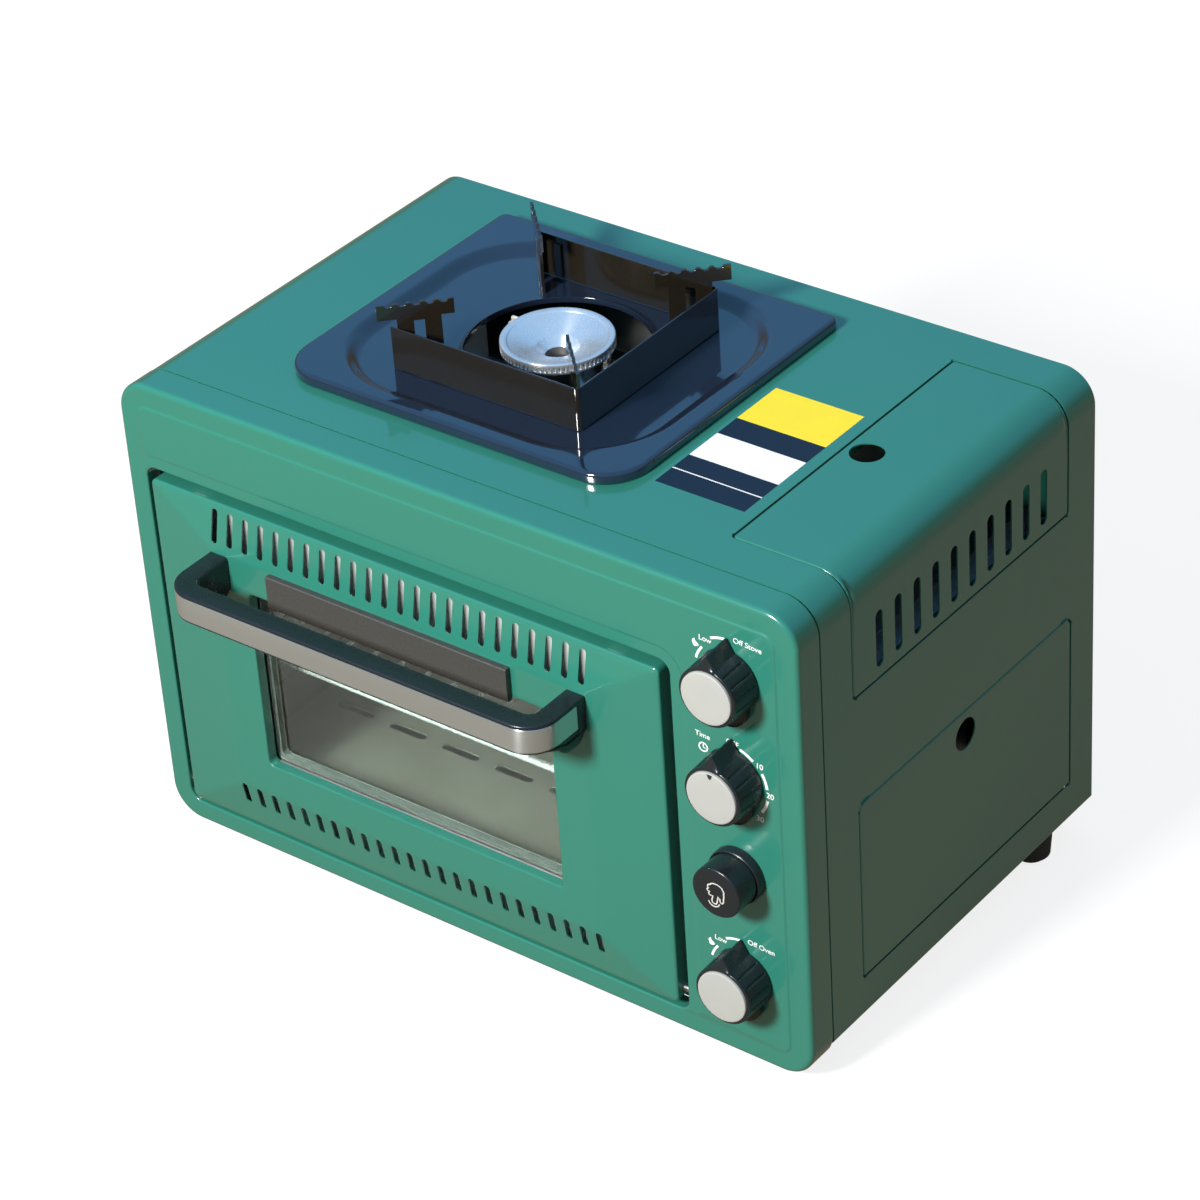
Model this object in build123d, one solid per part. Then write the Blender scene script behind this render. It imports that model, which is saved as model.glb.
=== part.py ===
"""Portable gas camping oven with a one-burner hob on top.

Frame: +X to the right of the front, -Y out of the front, +Z up, millimetres.
While it is modelled, x = 0 is the middle of the width, y = 0 is the face of the
front bezel's border and z = 0 is the table.  save() moves every piece so that the
origin is the middle of the whole box, at table height.
"""
from build123d import *
from math import sqrt
import os

# ---------------------------------------------------------------- driving sizes
BODY_DEPTH = 303.0       # bezel face to the back of the shell
FOOT_GAP = 6.0           # table to the bezel's lower edge
SHELL_LIFT = 15.0        # bezel's lower edge to the shell's lower edge
CORNER_R = 21.5          # rounded upper corners of bezel and shell
SHEET = 1.0              # painted outer sheet
LINER_SHEET = 0.8        # oven cavity sheet
SEAT = 0.3               # clearance between pieces that only rest or face each other
HEM = 6.0                # shell's folded lower edges

DOOR_WIDTH = 376.5
DOOR_HEIGHT = 235.5
DOOR_LEFT = 21.0         # bezel's left edge to the door's left edge
CONTROL_COLUMN = 92.5    # door's right edge to the bezel's right edge
DOOR_BOTTOM = 20.0       # bezel's lower edge to the door's lower edge
HEAD_ROOM = 62.5         # door's upper edge to the bezel's upper edge
DOOR_GAP = 5.5           # gap all round the closed door
DOOR_R = 4.0
DOOR_PROUD = 3.0         # the door's edge stands this far out of the bezel
DOOR_RISE = 6.0          # and its raised middle this much further
FACET_SIDE = 50.0        # sloping margins around the raised middle
FACET_TOP = 31.0
FACET_BOTTOM = 34.0
DOOR_SKIN_BACK = 10.0    # rear edge of the door's folded sides
HINGE_Y = 4.5            # door hinge axis behind the bezel face
HINGE_RISE = 7.5         # and above the door's lower edge
HINGE_PIN_R = 2.5
HINGE_HEAD = 1.5         # pin head beyond the pin, and its thickness
HINGE_HEAD_LENGTH = 2.0
PIN_PLAY = 0.05          # radial running clearance of every hinge pin and stem

BEZEL_DEPTH = 21.0       # depth of the bezel's folded rim
BEZEL_EDGE_R = 3.0
SEAM = 1.2               # open seam between bezel rim and shell
JOGGLE = 9.0             # shell's tongue inside the bezel rim
JOGGLE_LAP = 5.0
FIELD_INSET = 14.7       # border around the raised field of the bezel
FIELD_RISE = 0.8
FIELD_R = 8.0
DOOR_FRAME = 9.0         # width of the shallow frame pressed around the door opening
DOOR_FRAME_SINK = 0.4
OPENING_R = 8.0
OPENING_RETURN = 11.0    # depth of the lip folded in around the door opening

WINDOW_SIDE = 74.75      # door's side edges to the window
WINDOW_BELOW = 56.5      # door's lower edge to the window
WINDOW_ABOVE = 52.5      # window to the door's upper edge
WINDOW_R = 4.0
WINDOW_RETURN = 8.0      # depth of the lip around the window
GLASS_THICK = 4.0
GLASS_LAP = 7.0
FRAME_LAP = 3.0          # steel frame beyond the pane
BEAD_DEPTH = 5.0
BEAD_SHEET = 1.0
CATCH_SIDE = 34.0        # door's side edges to the catches above it
CATCH_WIDTH = 10.0
CATCH_HEIGHT = 2.2
CATCH_DEPTH = 6.0

DOOR_SLOTS = 24          # in each of the two rows of door slots
DOOR_SLOT_WIDTH = 4.4
DOOR_SLOT_PITCH = 11.9
TOP_SLOT_LENGTH = 22.0
BOTTOM_SLOT_LENGTH = 16.0
TOP_SLOT_INSET = 4.0     # door's top edge to the upper slots
BOTTOM_SLOT_INSET = 17.5

HANDLE_SIDE = 48.25      # door's side edges to the handle
HANDLE_DROP = 32.0       # door's upper edge to the handle's top
HANDLE_HEIGHT = 19.5
HANDLE_REACH = 53.5      # bezel face to the front of the handle
HANDLE_DEPTH = 14.0
HANDLE_R = 20.0
HANDLE_EDGE_R = 2.0
HANDLE_FOOT = 10.0       # extra height of the handle's feet
BAND_THICK = 0.8
BAND_LIP = 1.2           # grip left bare under the band
BAND_TOP = 2.4           # and over it
BAND_END = 7.0           # door face to the ends of the band
STRIP_INSET = 20.0       # window's left edge to the heat deflector
STRIP_WIDTH = 180.0
STRIP_HEIGHT = 22.5
STRIP_DEPTH = 4.0
STRIP_LAP = 2.0          # strip's lower edge in front of the window

KNOB_INSET = 45.0        # control axis to the bezel's right edge
STOVE_DROP = 52.0        # bezel's upper edge to the stove knob's axis
TIMER_DROP = 66.5        # each axis to the next one down
BUTTON_DROP = 65.5
OVEN_DROP = 74.5
KNOB_R = 19.5
KNOB_CAP_R = 16.6
KNOB_RIM = 2.0           # dark ring around the cap
KNOB_HEIGHT = 18.0
KNOB_WALL = 2.5
KNOB_GAP = 1.0           # under the knob's skirt
KNOB_FLUTES = 18
POINTER_REACH = 27.0     # knob axis to the pointer's tip
POINTER_ROOT = 8.0       # half width of the pointer at the knob
POINTER_TIP = 1.2
STEM_R = 4.0
STEM_HOLE = 1.5          # clearance around the stems in bezel and bracket
STEM_LENGTH = 14.0       # bezel face to the inner end of a stem
CAP_SINK = 1.0
CAP_PROUD = 0.4
BUTTON_R = 16.0
BUTTON_HEIGHT = 19.0
BUTTON_TRAVEL = 4.0
BUTTON_STOP = 0.6        # left under the button when it is pushed in
COLLAR_R = 18.5
COLLAR_HEIGHT = 10.0

LID_WIDTH = 78.0         # lid's long seam to the bezel's right edge
LID_FRONT = 51.7
LID_REAR = 29.6          # lid to the back of the shell
LID_HEIGHT = 80.0        # bezel's upper edge to the lid's lower seam
HATCH_FRONT = 54.0
HATCH_REAR = 26.0
HATCH_BOTTOM = 41.8      # above the bezel's lower edge
HATCH_BELOW_LID = 74.3
LID_GAP = 1.0            # seam around lid and hatch
LID_FLANGE = 8.0
LID_PIN_R = 2.0
LID_PIN_INSET = 4.0      # lid and hatch pins from the outer face and the lower seam
LID_PIN_REACH = 5.0      # pin inside the lid's end
HINGE_BLOCK = 5.0        # half size of the blocks that carry those pins
HINGE_BLOCK_WIDE = 6.2
HINGE_BLOCK_GAP = 0.8
LID_SLOTS = 10
LID_SLOT_PITCH = 18.8
LID_SLOT_WIDTH = 7.0
LID_SLOT_RISE = 7.0      # lid's lower seam to its slots
LID_SLOT_LENGTH = 37.0
FINGER_R = 10.4
LID_FINGER_INSET = 3.5   # lid's long seam to its finger hole
HATCH_R = 6.0            # rounded upper corners of the hatch
HATCH_FINGER_SHIFT = 3.0 # finger hole in front of the hatch's middle
HATCH_FINGER_DROP = 5.7  # hatch's upper edge to its finger hole

HOB_X = 207.0            # bezel's left edge to the hob's axis
HOB_REAR = 31.5          # drip pan to the back of the shell
PAN_WIDTH = 253.0
PAN_DEPTH = 219.0
PAN_RISE = 7.0
PAN_EDGE_R = 2.5
PAN_FRONT_R = 28.0
PAN_REAR_R = 6.0
PAN_SHEET = 1.0
BASIN_INSET = 11.5       # pan's outline to the basin
BASIN_FRONT = 9.5
BASIN_R = 62.0
BASIN_SLOPE = 9.0        # horizontal run of the basin's side
HOLE_R = 56.5
HOLE_LIP = 4.0           # lip around the hole, above the shell
SHELL_HOLE_R = 52.0
SCREEN_SIZE = 138.0      # wind screen
SCREEN_SHEET = 1.2
SCREEN_HEIGHT = 28.0
SCREEN_R = 3.0
SUPPORT_THICK = 2.0      # pot supports
SUPPORT_IN = 59.0        # hob axis to the inner end of a pot support
SUPPORT_OUT = 105.0
SUPPORT_TOP = 44.0       # above the shell
SUPPORT_BAR = 10.0
SUPPORT_LEG = 10.0       # width of each leg
SUPPORT_LEG_INSET = 8.0
SUPPORT_ARCH = 2.0       # top of the notch between the legs, below the bar
SUPPORT_CORNER = 2.5     # outer leg to the screen's corner
SUPPORT_NOTCHES = 5
NOTCH_PITCH = 8.2
NOTCH_START = 6.0
NOTCH_R = 3.2
NOTCH_LIFT = 1.2
TAB_REACH = 20.0
TAB_THICK = 1.5
TAB_CORNER = 2.2
BURNER_R = 34.5
BURNER_TOP = 10.0        # above the shell
BURNER_PORTS = 36
PORT_WIDTH = 1.6
PORT_HEIGHT = 3.4
HEAD_SEAT = 7.0          # head's top to the cup's rim
HEAD_STEP = 6.0          # rim of the head to the spigot inside the cup
HEAD_EDGE = 1.0
HEAD_RIM = 4.5           # flat rim around the dish
HEAD_WALL = 2.5
DISH_R = 13.0            # dish, where the throat begins
DISH_DROP = 7.0
THROAT_R = 5.0
THROAT_DROP = 16.0
CUP_R = 32.0
CUP_DROP = 34.0
TUBE_RISE = 14.0         # foot of the cup to the mixing tube's axis
TUBE_R = 9.0
TUBE_SLEEVE_R = 11.0
TUBE_SLEEVE = 16.0
TUBE_MOUTH = 12.0        # heat shield to the tube's open end
TUBE_MOUTH_Y = 72.0
BRACKET_REACH = 70.0     # hob axis to the ends of the burner bracket
BRACKET_WIDTH = 36.0
BRACKET_FLANGE = 14.0
ELECTRODE_REACH = 40.0
ELECTRODE_SHIFT = 8.0

CAVITY_SIDE_LEFT = 19.0  # door's edges to the oven cavity
CAVITY_SIDE_RIGHT = 17.5
CAVITY_BELOW = 12.0
CAVITY_ABOVE = 23.5
CAVITY_FRONT = 17.5
CAVITY_REAR = 20.0       # cavity to the back of the shell
FLANGE_OVERLAP = 2.5     # cavity flange behind the edge of the door opening
SEAL_WIDTH = 8.0         # gasket around the cavity, open at the foot for the door's swing
SEAL_RISE = 8.0          # cavity floor to its lower ends
RAIL_FOOT = 9.0          # feet of the cavity: half width, flange and distance from the side walls
RAIL_FOOT_INSET = 40.0
BAFFLE_RISE = 24.0       # burner cover above the cavity floor
BAFFLE_SIDE = 12.0
BAFFLE_END = 10.0
BAFFLE_SLOTS = 7
BAFFLE_SLOT_PITCH = 42.0
BAFFLE_SLOT_LENGTH = 28.0
BAFFLE_SLOT_WIDTH = 6.0
BAFFLE_ROW = 62.0
RACK_RISE = 92.0         # rack rails above the cavity floor
RACK_STEP = 42.0         # to the lower rails
RAIL_WIDTH = 9.0
RAIL_THICK = 1.5
RAIL_END = 12.0
RACK_SIDE = 2.0          # rack to the rails' uprights
RACK_END = 14.0
WIRE_R = 1.6
FRAME_WIRE_R = 2.4
RACK_WIRES = 15
OVEN_TUBE_R = 8.0
OVEN_TUBE_RISE = 12.0
OVEN_TUBE_WALL = 1.0
OVEN_TUBE_FLARE = 2.0
OVEN_TUBE_END = 14.0     # heat shield to the open end
OVEN_TUBE_INSET = 30.0
TUBE_PORTS = 22
TUBE_PORT_PITCH = 12.5
SADDLE_INSET = 60.0

BAY_WIDTH = 85.0         # heat shield to the bezel's right edge
BAY_BELOW_LID = 7.0      # bay floor under the lid's lower seam
SHIELD_FLANGE = 9.0
SHIELD_FRONT = 28.0
SHIELD_REAR = 12.0
CARTRIDGE_R = 34.0
CRADLE_CLEAR = 1.0
CRADLE_RISE = 4.0
CRADLE_HALF = 25.0
CRADLE_FRONT = 30.0      # lid's ends to the cradle
CRADLE_REAR = 12.0
BRACKET_THICK = 1.2
CONTROL_PLATE = 24.0     # half width of the plate behind the controls
CONTROL_PLATE_END = 12.0
REGULATOR_SETBACK = 4.3  # lid's front to the rear face of the regulator's body
REGULATOR_R = 20.0
REGULATOR_DEPTH = 12.0
STEM_BORE_R = 2.4        # hole for the cartridge's valve stem
MANIFOLD_INSET = 17.0    # standing gas pipe to the bezel's right edge
PIPE_R = 2.5
PIPE_BEND = 6.0
JET_PIPE_R = 2.0
JET_PIPE_BEND = 4.0
JET_GAP = 3.0            # jet to the mouth of its burner tube
VALVE_HALF = 11.0
VALVE_HEAD = 10.0
VALVE_R = 9.0
VALVE_LENGTH = 34.0
VALVE_LUG_R = 4.5
VALVE_INLET = 14.0       # reach and place of the inlet lug, right of the valve
VALVE_INLET_Y = 18.0
VALVE_OUTLET = 20.0      # and of the stove valve's outlet lug on its left
VALVE_OUTLET_Y = 26.0
TIMER_HALF = 21.0
TIMER_DEPTH = 22.0
IGNITER_R = 8.0
IGNITER_LENGTH = 44.0

FOOT_R = 13.5
FOOT_TIP_R = 12.0
FOOT_EDGE = 2.5
FOOT_SOCKET_R = 5.0
FOOT_SOCKET = 4.0
FOOT_INSET_REAR = 15.5
FOOT_INSET_FRONT = 26.0
FOOT_Y_REAR = 46.0       # back of the shell to the rear feet
FOOT_Y_FRONT = 43.0      # bezel face to the front feet
SCREW_R = 3.5
SCREW_RISE = 1.6
SCREW_INSET = 7.0        # back panel's edge to its screws
FOOT_SCREW_R = 2.1
BACK_SLOTS = 12
BACK_SLOT_PITCH = 16.0
BACK_SLOT_WIDTH = 5.0
BACK_SLOT_LENGTH = 18.0
BACK_SLOT_ROW = 30.0
BACK_SLOT_DROP = 40.0
BACK_LIP = 10.0

# ---------------------------------------------------------------- derived places
WIDTH = DOOR_LEFT + DOOR_WIDTH + CONTROL_COLUMN
BEZEL_HEIGHT = DOOR_BOTTOM + DOOR_HEIGHT + HEAD_ROOM
LEFT = -WIDTH / 2
RIGHT = WIDTH / 2
BEZEL_Z = FOOT_GAP
TOP = BEZEL_Z + BEZEL_HEIGHT
SHELL_Z = BEZEL_Z + SHELL_LIFT
SHELL_X = RIGHT - SEAT
SHELL_TOP = TOP - SEAT
SHELL_FRONT = BEZEL_DEPTH + SEAM
BACK_Y = BODY_DEPTH + SCREW_RISE
MID_Y = (BACK_Y - HANDLE_REACH) / 2
BASE_Z = SHELL_Z - SHEET
FIELD_FACE = -FIELD_RISE

DOOR_X0 = LEFT + DOOR_LEFT
DOOR_X1 = DOOR_X0 + DOOR_WIDTH
DOOR_CX = (DOOR_X0 + DOOR_X1) / 2
DOOR_Z0 = BEZEL_Z + DOOR_BOTTOM
DOOR_Z1 = DOOR_Z0 + DOOR_HEIGHT
DOOR_CZ = (DOOR_Z0 + DOOR_Z1) / 2
DOOR_FACE = -DOOR_PROUD - DOOR_RISE
HINGE_Z = DOOR_Z0 + HINGE_RISE
OPENING_WIDTH = DOOR_WIDTH + 2 * DOOR_GAP
OPENING_HEIGHT = DOOR_HEIGHT + 2 * DOOR_GAP
WINDOW_WIDTH = DOOR_WIDTH - 2 * WINDOW_SIDE
WINDOW_HEIGHT = DOOR_HEIGHT - WINDOW_BELOW - WINDOW_ABOVE
WINDOW_X0 = DOOR_X0 + WINDOW_SIDE
WINDOW_Z0 = DOOR_Z0 + WINDOW_BELOW
WINDOW_CX = WINDOW_X0 + WINDOW_WIDTH / 2
WINDOW_CZ = WINDOW_Z0 + WINDOW_HEIGHT / 2
GLASS_Y = DOOR_FACE + WINDOW_RETURN
HANDLE_X0 = DOOR_X0 + HANDLE_SIDE
HANDLE_X1 = DOOR_X1 - HANDLE_SIDE
HANDLE_Z1 = DOOR_Z1 - HANDLE_DROP
HANDLE_Z0 = HANDLE_Z1 - HANDLE_HEIGHT

CONTROL_X = RIGHT - KNOB_INSET
STOVE_Z = TOP - STOVE_DROP
TIMER_Z = STOVE_Z - TIMER_DROP
BUTTON_Z = TIMER_Z - BUTTON_DROP
OVEN_Z = BUTTON_Z - OVEN_DROP
PLATE_BACK = SHEET + BRACKET_THICK

HOB_CX = LEFT + HOB_X
HOB_Y = BODY_DEPTH - HOB_REAR - PAN_DEPTH / 2
LID_X0 = RIGHT - LID_WIDTH
LID_Z0 = TOP - LID_HEIGHT
LID_BACK = BODY_DEPTH - LID_REAR
LID_MID_Y = (LID_FRONT + LID_BACK) / 2
HATCH_BACK = BODY_DEPTH - HATCH_REAR
HATCH_Z0 = BEZEL_Z + HATCH_BOTTOM
HATCH_Z1 = LID_Z0 - HATCH_BELOW_LID
SIDE_AXIS_X = SHELL_X - LID_PIN_INSET
CAVITY_X0 = DOOR_X0 + CAVITY_SIDE_LEFT
CAVITY_X1 = DOOR_X1 - CAVITY_SIDE_RIGHT
CAVITY_CX = (CAVITY_X0 + CAVITY_X1) / 2
CAVITY_Z0 = DOOR_Z0 + CAVITY_BELOW
CAVITY_Z1 = DOOR_Z1 - CAVITY_ABOVE
CAVITY_BACK = BODY_DEPTH - CAVITY_REAR
CAVITY_MID_Y = (CAVITY_FRONT + CAVITY_BACK) / 2
OVEN_TUBE_Z = CAVITY_Z0 + OVEN_TUBE_RISE
DIVIDER = RIGHT - BAY_WIDTH
BAY_Z = LID_Z0 - BAY_BELOW_LID
OVEN_TUBE_X1 = DIVIDER + OVEN_TUBE_END
CARTRIDGE_X = (DIVIDER + SHEET + SHELL_X - SHEET) / 2
CARTRIDGE_Z = BAY_Z + SHEET + CARTRIDGE_R + CRADLE_CLEAR + CRADLE_RISE
REGULATOR_Y = LID_FRONT + REGULATOR_SETBACK
MANIFOLD_X = RIGHT - MANIFOLD_INSET
CUP_FOOT = SHELL_TOP - CUP_DROP
TUBE_Z = CUP_FOOT + TUBE_RISE


# ---------------------------------------------------------------- helpers
def front_slab(sketch, y_front, y_back):
    """Extrude a sketch drawn in (x, z) from y_front back to y_back."""
    plane = Plane(origin=(0, y_front, 0), x_dir=(1, 0, 0), z_dir=(0, -1, 0))
    return extrude(plane * sketch, amount=-(y_back - y_front))


def side_slab(sketch, x_left, x_right):
    """Extrude a sketch drawn in (y, z) from x_left to x_right."""
    plane = Plane(origin=(x_left, 0, 0), x_dir=(0, 1, 0), z_dir=(1, 0, 0))
    return extrude(plane * sketch, amount=x_right - x_left)


def block(x0, x1, y0, y1, z0, z1):
    """A plain box between two corners."""
    return Pos((x0 + x1) / 2, (y0 + y1) / 2, (z0 + z1) / 2) * Box(x1 - x0, y1 - y0, z1 - z0)


def rod_x(radius, x0, x1, y, z):
    return Pos((x0 + x1) / 2, y, z) * Rot(0, 90, 0) * Cylinder(radius, x1 - x0)


def rod_y(radius, x, y0, y1, z):
    return Pos(x, (y0 + y1) / 2, z) * Rot(90, 0, 0) * Cylinder(radius, y1 - y0)


def rod_z(radius, x, y, z0, z1):
    return Pos(x, y, (z0 + z1) / 2) * Cylinder(radius, z1 - z0)


def rounded(width, height, radius, x, z):
    return Pos(x, z) * RectangleRounded(width, height, radius)


def arch(inset, z_low):
    """Cross-section of the wrap-round shell: square below, rounded upper corners."""
    half = WIDTH / 2 - inset
    top = TOP - inset
    sketch = Pos(0, (top + z_low) / 2) * Rectangle(2 * half, top - z_low)
    return fillet(sketch.vertices().group_by(Axis.Y)[-1], CORNER_R - inset)


def arch_band(inset, thick, z_low, y_front, y_back):
    """A U-shaped sheet of the given thickness, open below."""
    outer = front_slab(arch(inset, z_low), y_front, y_back)
    return outer - front_slab(arch(inset + thick, z_low - 1), y_front - 1, y_back + 1)


def save(name, *shapes):
    """Write one node; the origin moves to the middle of the box, at the table."""
    moved = []
    for shape in shapes:
        for solid in shape.solids():
            moved.append(Pos(0, -MID_Y, 0) * solid)
    export_step(moved[0] if len(moved) == 1 else Compound(children=moved), "parts/" + name + ".step")


# ---------------------------------------------------------------- housing
def make_bezel():
    """Pressed front: rounded rim, raised field, door opening with a folded lip."""
    cz = BEZEL_Z + BEZEL_HEIGHT / 2
    body = front_slab(rounded(WIDTH, BEZEL_HEIGHT, CORNER_R, 0, cz), 0, BEZEL_DEPTH)
    body = fillet(body.faces().sort_by(Axis.Y)[0].edges(), BEZEL_EDGE_R)
    inner = rounded(WIDTH - 2 * SHEET, BEZEL_HEIGHT - 2 * SHEET, CORNER_R - SHEET, 0, cz)
    hollow = front_slab(inner, SHEET, BEZEL_DEPTH + 1)
    hollow = fillet(hollow.faces().sort_by(Axis.Y)[0].edges(), BEZEL_EDGE_R - SHEET)
    body = body - hollow
    field_size = (WIDTH - 2 * FIELD_INSET, BEZEL_HEIGHT - 2 * FIELD_INSET)
    field = front_slab(rounded(*field_size, FIELD_R, 0, cz), FIELD_FACE, SHEET)
    field = chamfer(field.faces().sort_by(Axis.Y)[0].edges(), FIELD_RISE * 0.9)
    body = body + field
    frame = rounded(OPENING_WIDTH + 2 * DOOR_FRAME, OPENING_HEIGHT + 2 * DOOR_FRAME,
                    OPENING_R + DOOR_FRAME, DOOR_CX, DOOR_CZ)
    body = body - front_slab(frame, FIELD_FACE - 1, FIELD_FACE + DOOR_FRAME_SINK)
    lip = rounded(OPENING_WIDTH + 2 * SHEET, OPENING_HEIGHT + 2 * SHEET, OPENING_R + SHEET,
                  DOOR_CX, DOOR_CZ)
    hole = rounded(OPENING_WIDTH, OPENING_HEIGHT, OPENING_R, DOOR_CX, DOOR_CZ)
    body = body + front_slab(lip, 0, OPENING_RETURN)
    body = body - front_slab(hole, FIELD_FACE - 1, BEZEL_DEPTH)
    for z in (STOVE_Z, TIMER_Z, OVEN_Z, BUTTON_Z):
        body = body - rod_y(STEM_R + STEM_HOLE, CONTROL_X, FIELD_FACE - 1, SHEET + 1, z)
    reach = DOOR_GAP + SHEET + 1
    bore = HINGE_PIN_R + PIN_PLAY
    body = body - rod_x(bore, DOOR_X0 - reach, DOOR_X0, HINGE_Y, HINGE_Z)
    return body - rod_x(bore, DOOR_X1, DOOR_X1 + reach, HINGE_Y, HINGE_Z)


def lid_box(gap):
    """Room of the cartridge lid, grown by a gap on every side."""
    return block(LID_X0 - gap, WIDTH, LID_FRONT - gap, LID_BACK + gap, LID_Z0 - gap, TOP + 10)


def hatch_outline(inset):
    """Side hatch in (y, z): upper corners rounded; a negative inset gives its room."""
    width = HATCH_BACK - HATCH_FRONT - 2 * inset
    height = HATCH_Z1 - HATCH_Z0 - 2 * inset
    sketch = Pos((HATCH_FRONT + HATCH_BACK) / 2, (HATCH_Z0 + HATCH_Z1) / 2) * Rectangle(width, height)
    return fillet(sketch.vertices().group_by(Axis.Y)[-1], HATCH_R - inset)


def make_shell():
    """Wrap-round body: two sides and the top, with hob, lid and hatch openings."""
    body = arch_band(SEAT, SHEET, SHELL_Z, SHELL_FRONT, BODY_DEPTH)
    tongue = (SHELL_FRONT - JOGGLE, SHELL_FRONT + JOGGLE_LAP)
    body = body + arch_band(SEAT + SHEET, SHEET, SHELL_Z + JOGGLE, *tongue)
    body = body + block(-SHELL_X, -SHELL_X + HEM, SHELL_FRONT, BODY_DEPTH, SHELL_Z, SHELL_Z + SHEET)
    body = body + block(SHELL_X - HEM, SHELL_X, SHELL_FRONT, BODY_DEPTH, SHELL_Z, SHELL_Z + SHEET)
    body = body - rod_z(SHELL_HOLE_R, HOB_CX, HOB_Y, TOP - 10, TOP + 10)
    body = body - lid_box(LID_GAP)
    return body - side_slab(hatch_outline(-LID_GAP), 0, WIDTH)


def make_base_plate():
    """Bottom tray under the shell's folded hems."""
    edge = SHELL_X - SHEET - SEAT
    tongue = edge - HEM
    plate = block(-edge, edge, SHELL_FRONT, BODY_DEPTH - SHEET, BASE_Z, SHELL_Z)
    plate = plate + block(-tongue, tongue, OPENING_RETURN + SHEET, SHELL_FRONT, BASE_Z, SHELL_Z)
    slots = []
    half = BACK_SLOT_WIDTH / 2
    for i in range(BACK_SLOTS):
        x = CAVITY_CX + (i - (BACK_SLOTS - 1) / 2) * BACK_SLOT_PITCH
        slots.append(block(x - half, x + half, HOB_Y + BACK_SLOT_ROW, HOB_Y + 2 * BACK_SLOT_ROW,
                           BASE_Z - 1, SHELL_Z + 1))
    return plate - slots


def make_back_panel():
    """Rear cover inside the shell, flanged forward, with vent slots."""
    inset = SEAT + SHEET + SEAT
    panel = front_slab(arch(inset, SHELL_Z + SHEET + SEAT), BODY_DEPTH - SHEET, BODY_DEPTH)
    lip = arch_band(inset, SHEET, SHELL_Z + SHEET + SEAT, BODY_DEPTH - BACK_LIP, BODY_DEPTH - SHEET)
    panel = panel + lip
    slots = []
    half_x = BACK_SLOT_WIDTH / 2
    half_z = BACK_SLOT_LENGTH / 2
    for row in range(2):
        z = TOP - BACK_SLOT_DROP - row * BACK_SLOT_ROW
        for i in range(BACK_SLOTS):
            x = CAVITY_CX + (i - (BACK_SLOTS - 1) / 2) * BACK_SLOT_PITCH
            slots.append(block(x - half_x, x + half_x, BODY_DEPTH - 2 * SHEET, BODY_DEPTH + 1,
                               z - half_z, z + half_z))
    return panel - slots


def make_divider():
    """Heat shield between the oven and the cartridge bay, lipped along its edges."""
    top = SHELL_TOP - SHEET - SEAT
    ends = (SHIELD_FRONT, BODY_DEPTH - SHIELD_REAR)
    wall = block(DIVIDER, DIVIDER + SHEET, *ends, SHELL_Z, top)
    wall = wall + block(DIVIDER - SHIELD_FLANGE, DIVIDER, *ends, SHELL_Z, SHELL_Z + SHEET)
    wall = wall + block(DIVIDER - SHIELD_FLANGE, DIVIDER, *ends, top - SHEET, top)
    through = (DIVIDER - 1, DIVIDER + SHEET + 1)
    wall = wall - rod_x(OVEN_TUBE_R + OVEN_TUBE_FLARE, *through, CAVITY_MID_Y, OVEN_TUBE_Z)
    return wall - rod_x(TUBE_SLEEVE_R + PAN_EDGE_R + SEAT, *through, *hob_tube_crossing())


def make_bay_floor():
    """Shelf under the gas cartridge, folded up at the heat shield."""
    ends = (LID_FRONT + 2 * SHEET, LID_BACK - 2 * SHEET)
    x0 = DIVIDER + SHEET
    x1 = SHELL_X - SHEET
    floor = block(x0, x1, *ends, BAY_Z, BAY_Z + SHEET)
    floor = floor + block(x0, x0 + SHEET, *ends, BAY_Z, BAY_Z + SHIELD_FLANGE)
    return floor + block(x1 - SHEET, x1, *ends, BAY_Z - SHIELD_FLANGE, BAY_Z)


def make_feet():
    """Four tapered rubber feet under the base plate."""
    feet = []
    for side in (-1, 1):
        front = (side * (WIDTH / 2 - FOOT_INSET_FRONT), FOOT_Y_FRONT)
        rear = (side * (WIDTH / 2 - FOOT_INSET_REAR), BODY_DEPTH - FOOT_Y_REAR)
        for x, y in (front, rear):
            foot = Pos(x, y, BASE_Z / 2) * Cone(FOOT_TIP_R, FOOT_R, BASE_Z)
            foot = chamfer(foot.edges().sort_by(Axis.Z)[0], FOOT_EDGE)
            foot = foot - rod_z(FOOT_SOCKET_R, x, y, -1, FOOT_SOCKET)
            feet.append(foot - rod_z(FOOT_SCREW_R + PIN_PLAY, x, y, FOOT_SOCKET - 1, BASE_Z + 1))
    return feet


def make_foot_screws():
    screws = []
    for foot in make_feet():
        c = foot.bounding_box().center()
        shank = rod_z(FOOT_SCREW_R, c.X, c.Y, FOOT_SOCKET, BASE_Z)
        screws.append(shank + rod_z(2 * FOOT_SCREW_R, c.X, c.Y, FOOT_SOCKET - SCREW_RISE, FOOT_SOCKET))
    return screws


def make_body_screws():
    """Pan-head screws along the back panel's edge."""
    screws = []
    inset = SEAT + SHEET + SCREW_INSET
    for z in (SHELL_Z + CORNER_R, (SHELL_Z + TOP) / 2, TOP - CORNER_R - SCREW_INSET):
        for side in (-1, 1):
            screws.append((side * (WIDTH / 2 - inset), z))
    for step in (-1, 0, 1):
        screws.append((step * WIDTH / 4, TOP - inset))
    return [rod_y(SCREW_R, x, BODY_DEPTH, BACK_Y, z) for x, z in screws]


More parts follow.
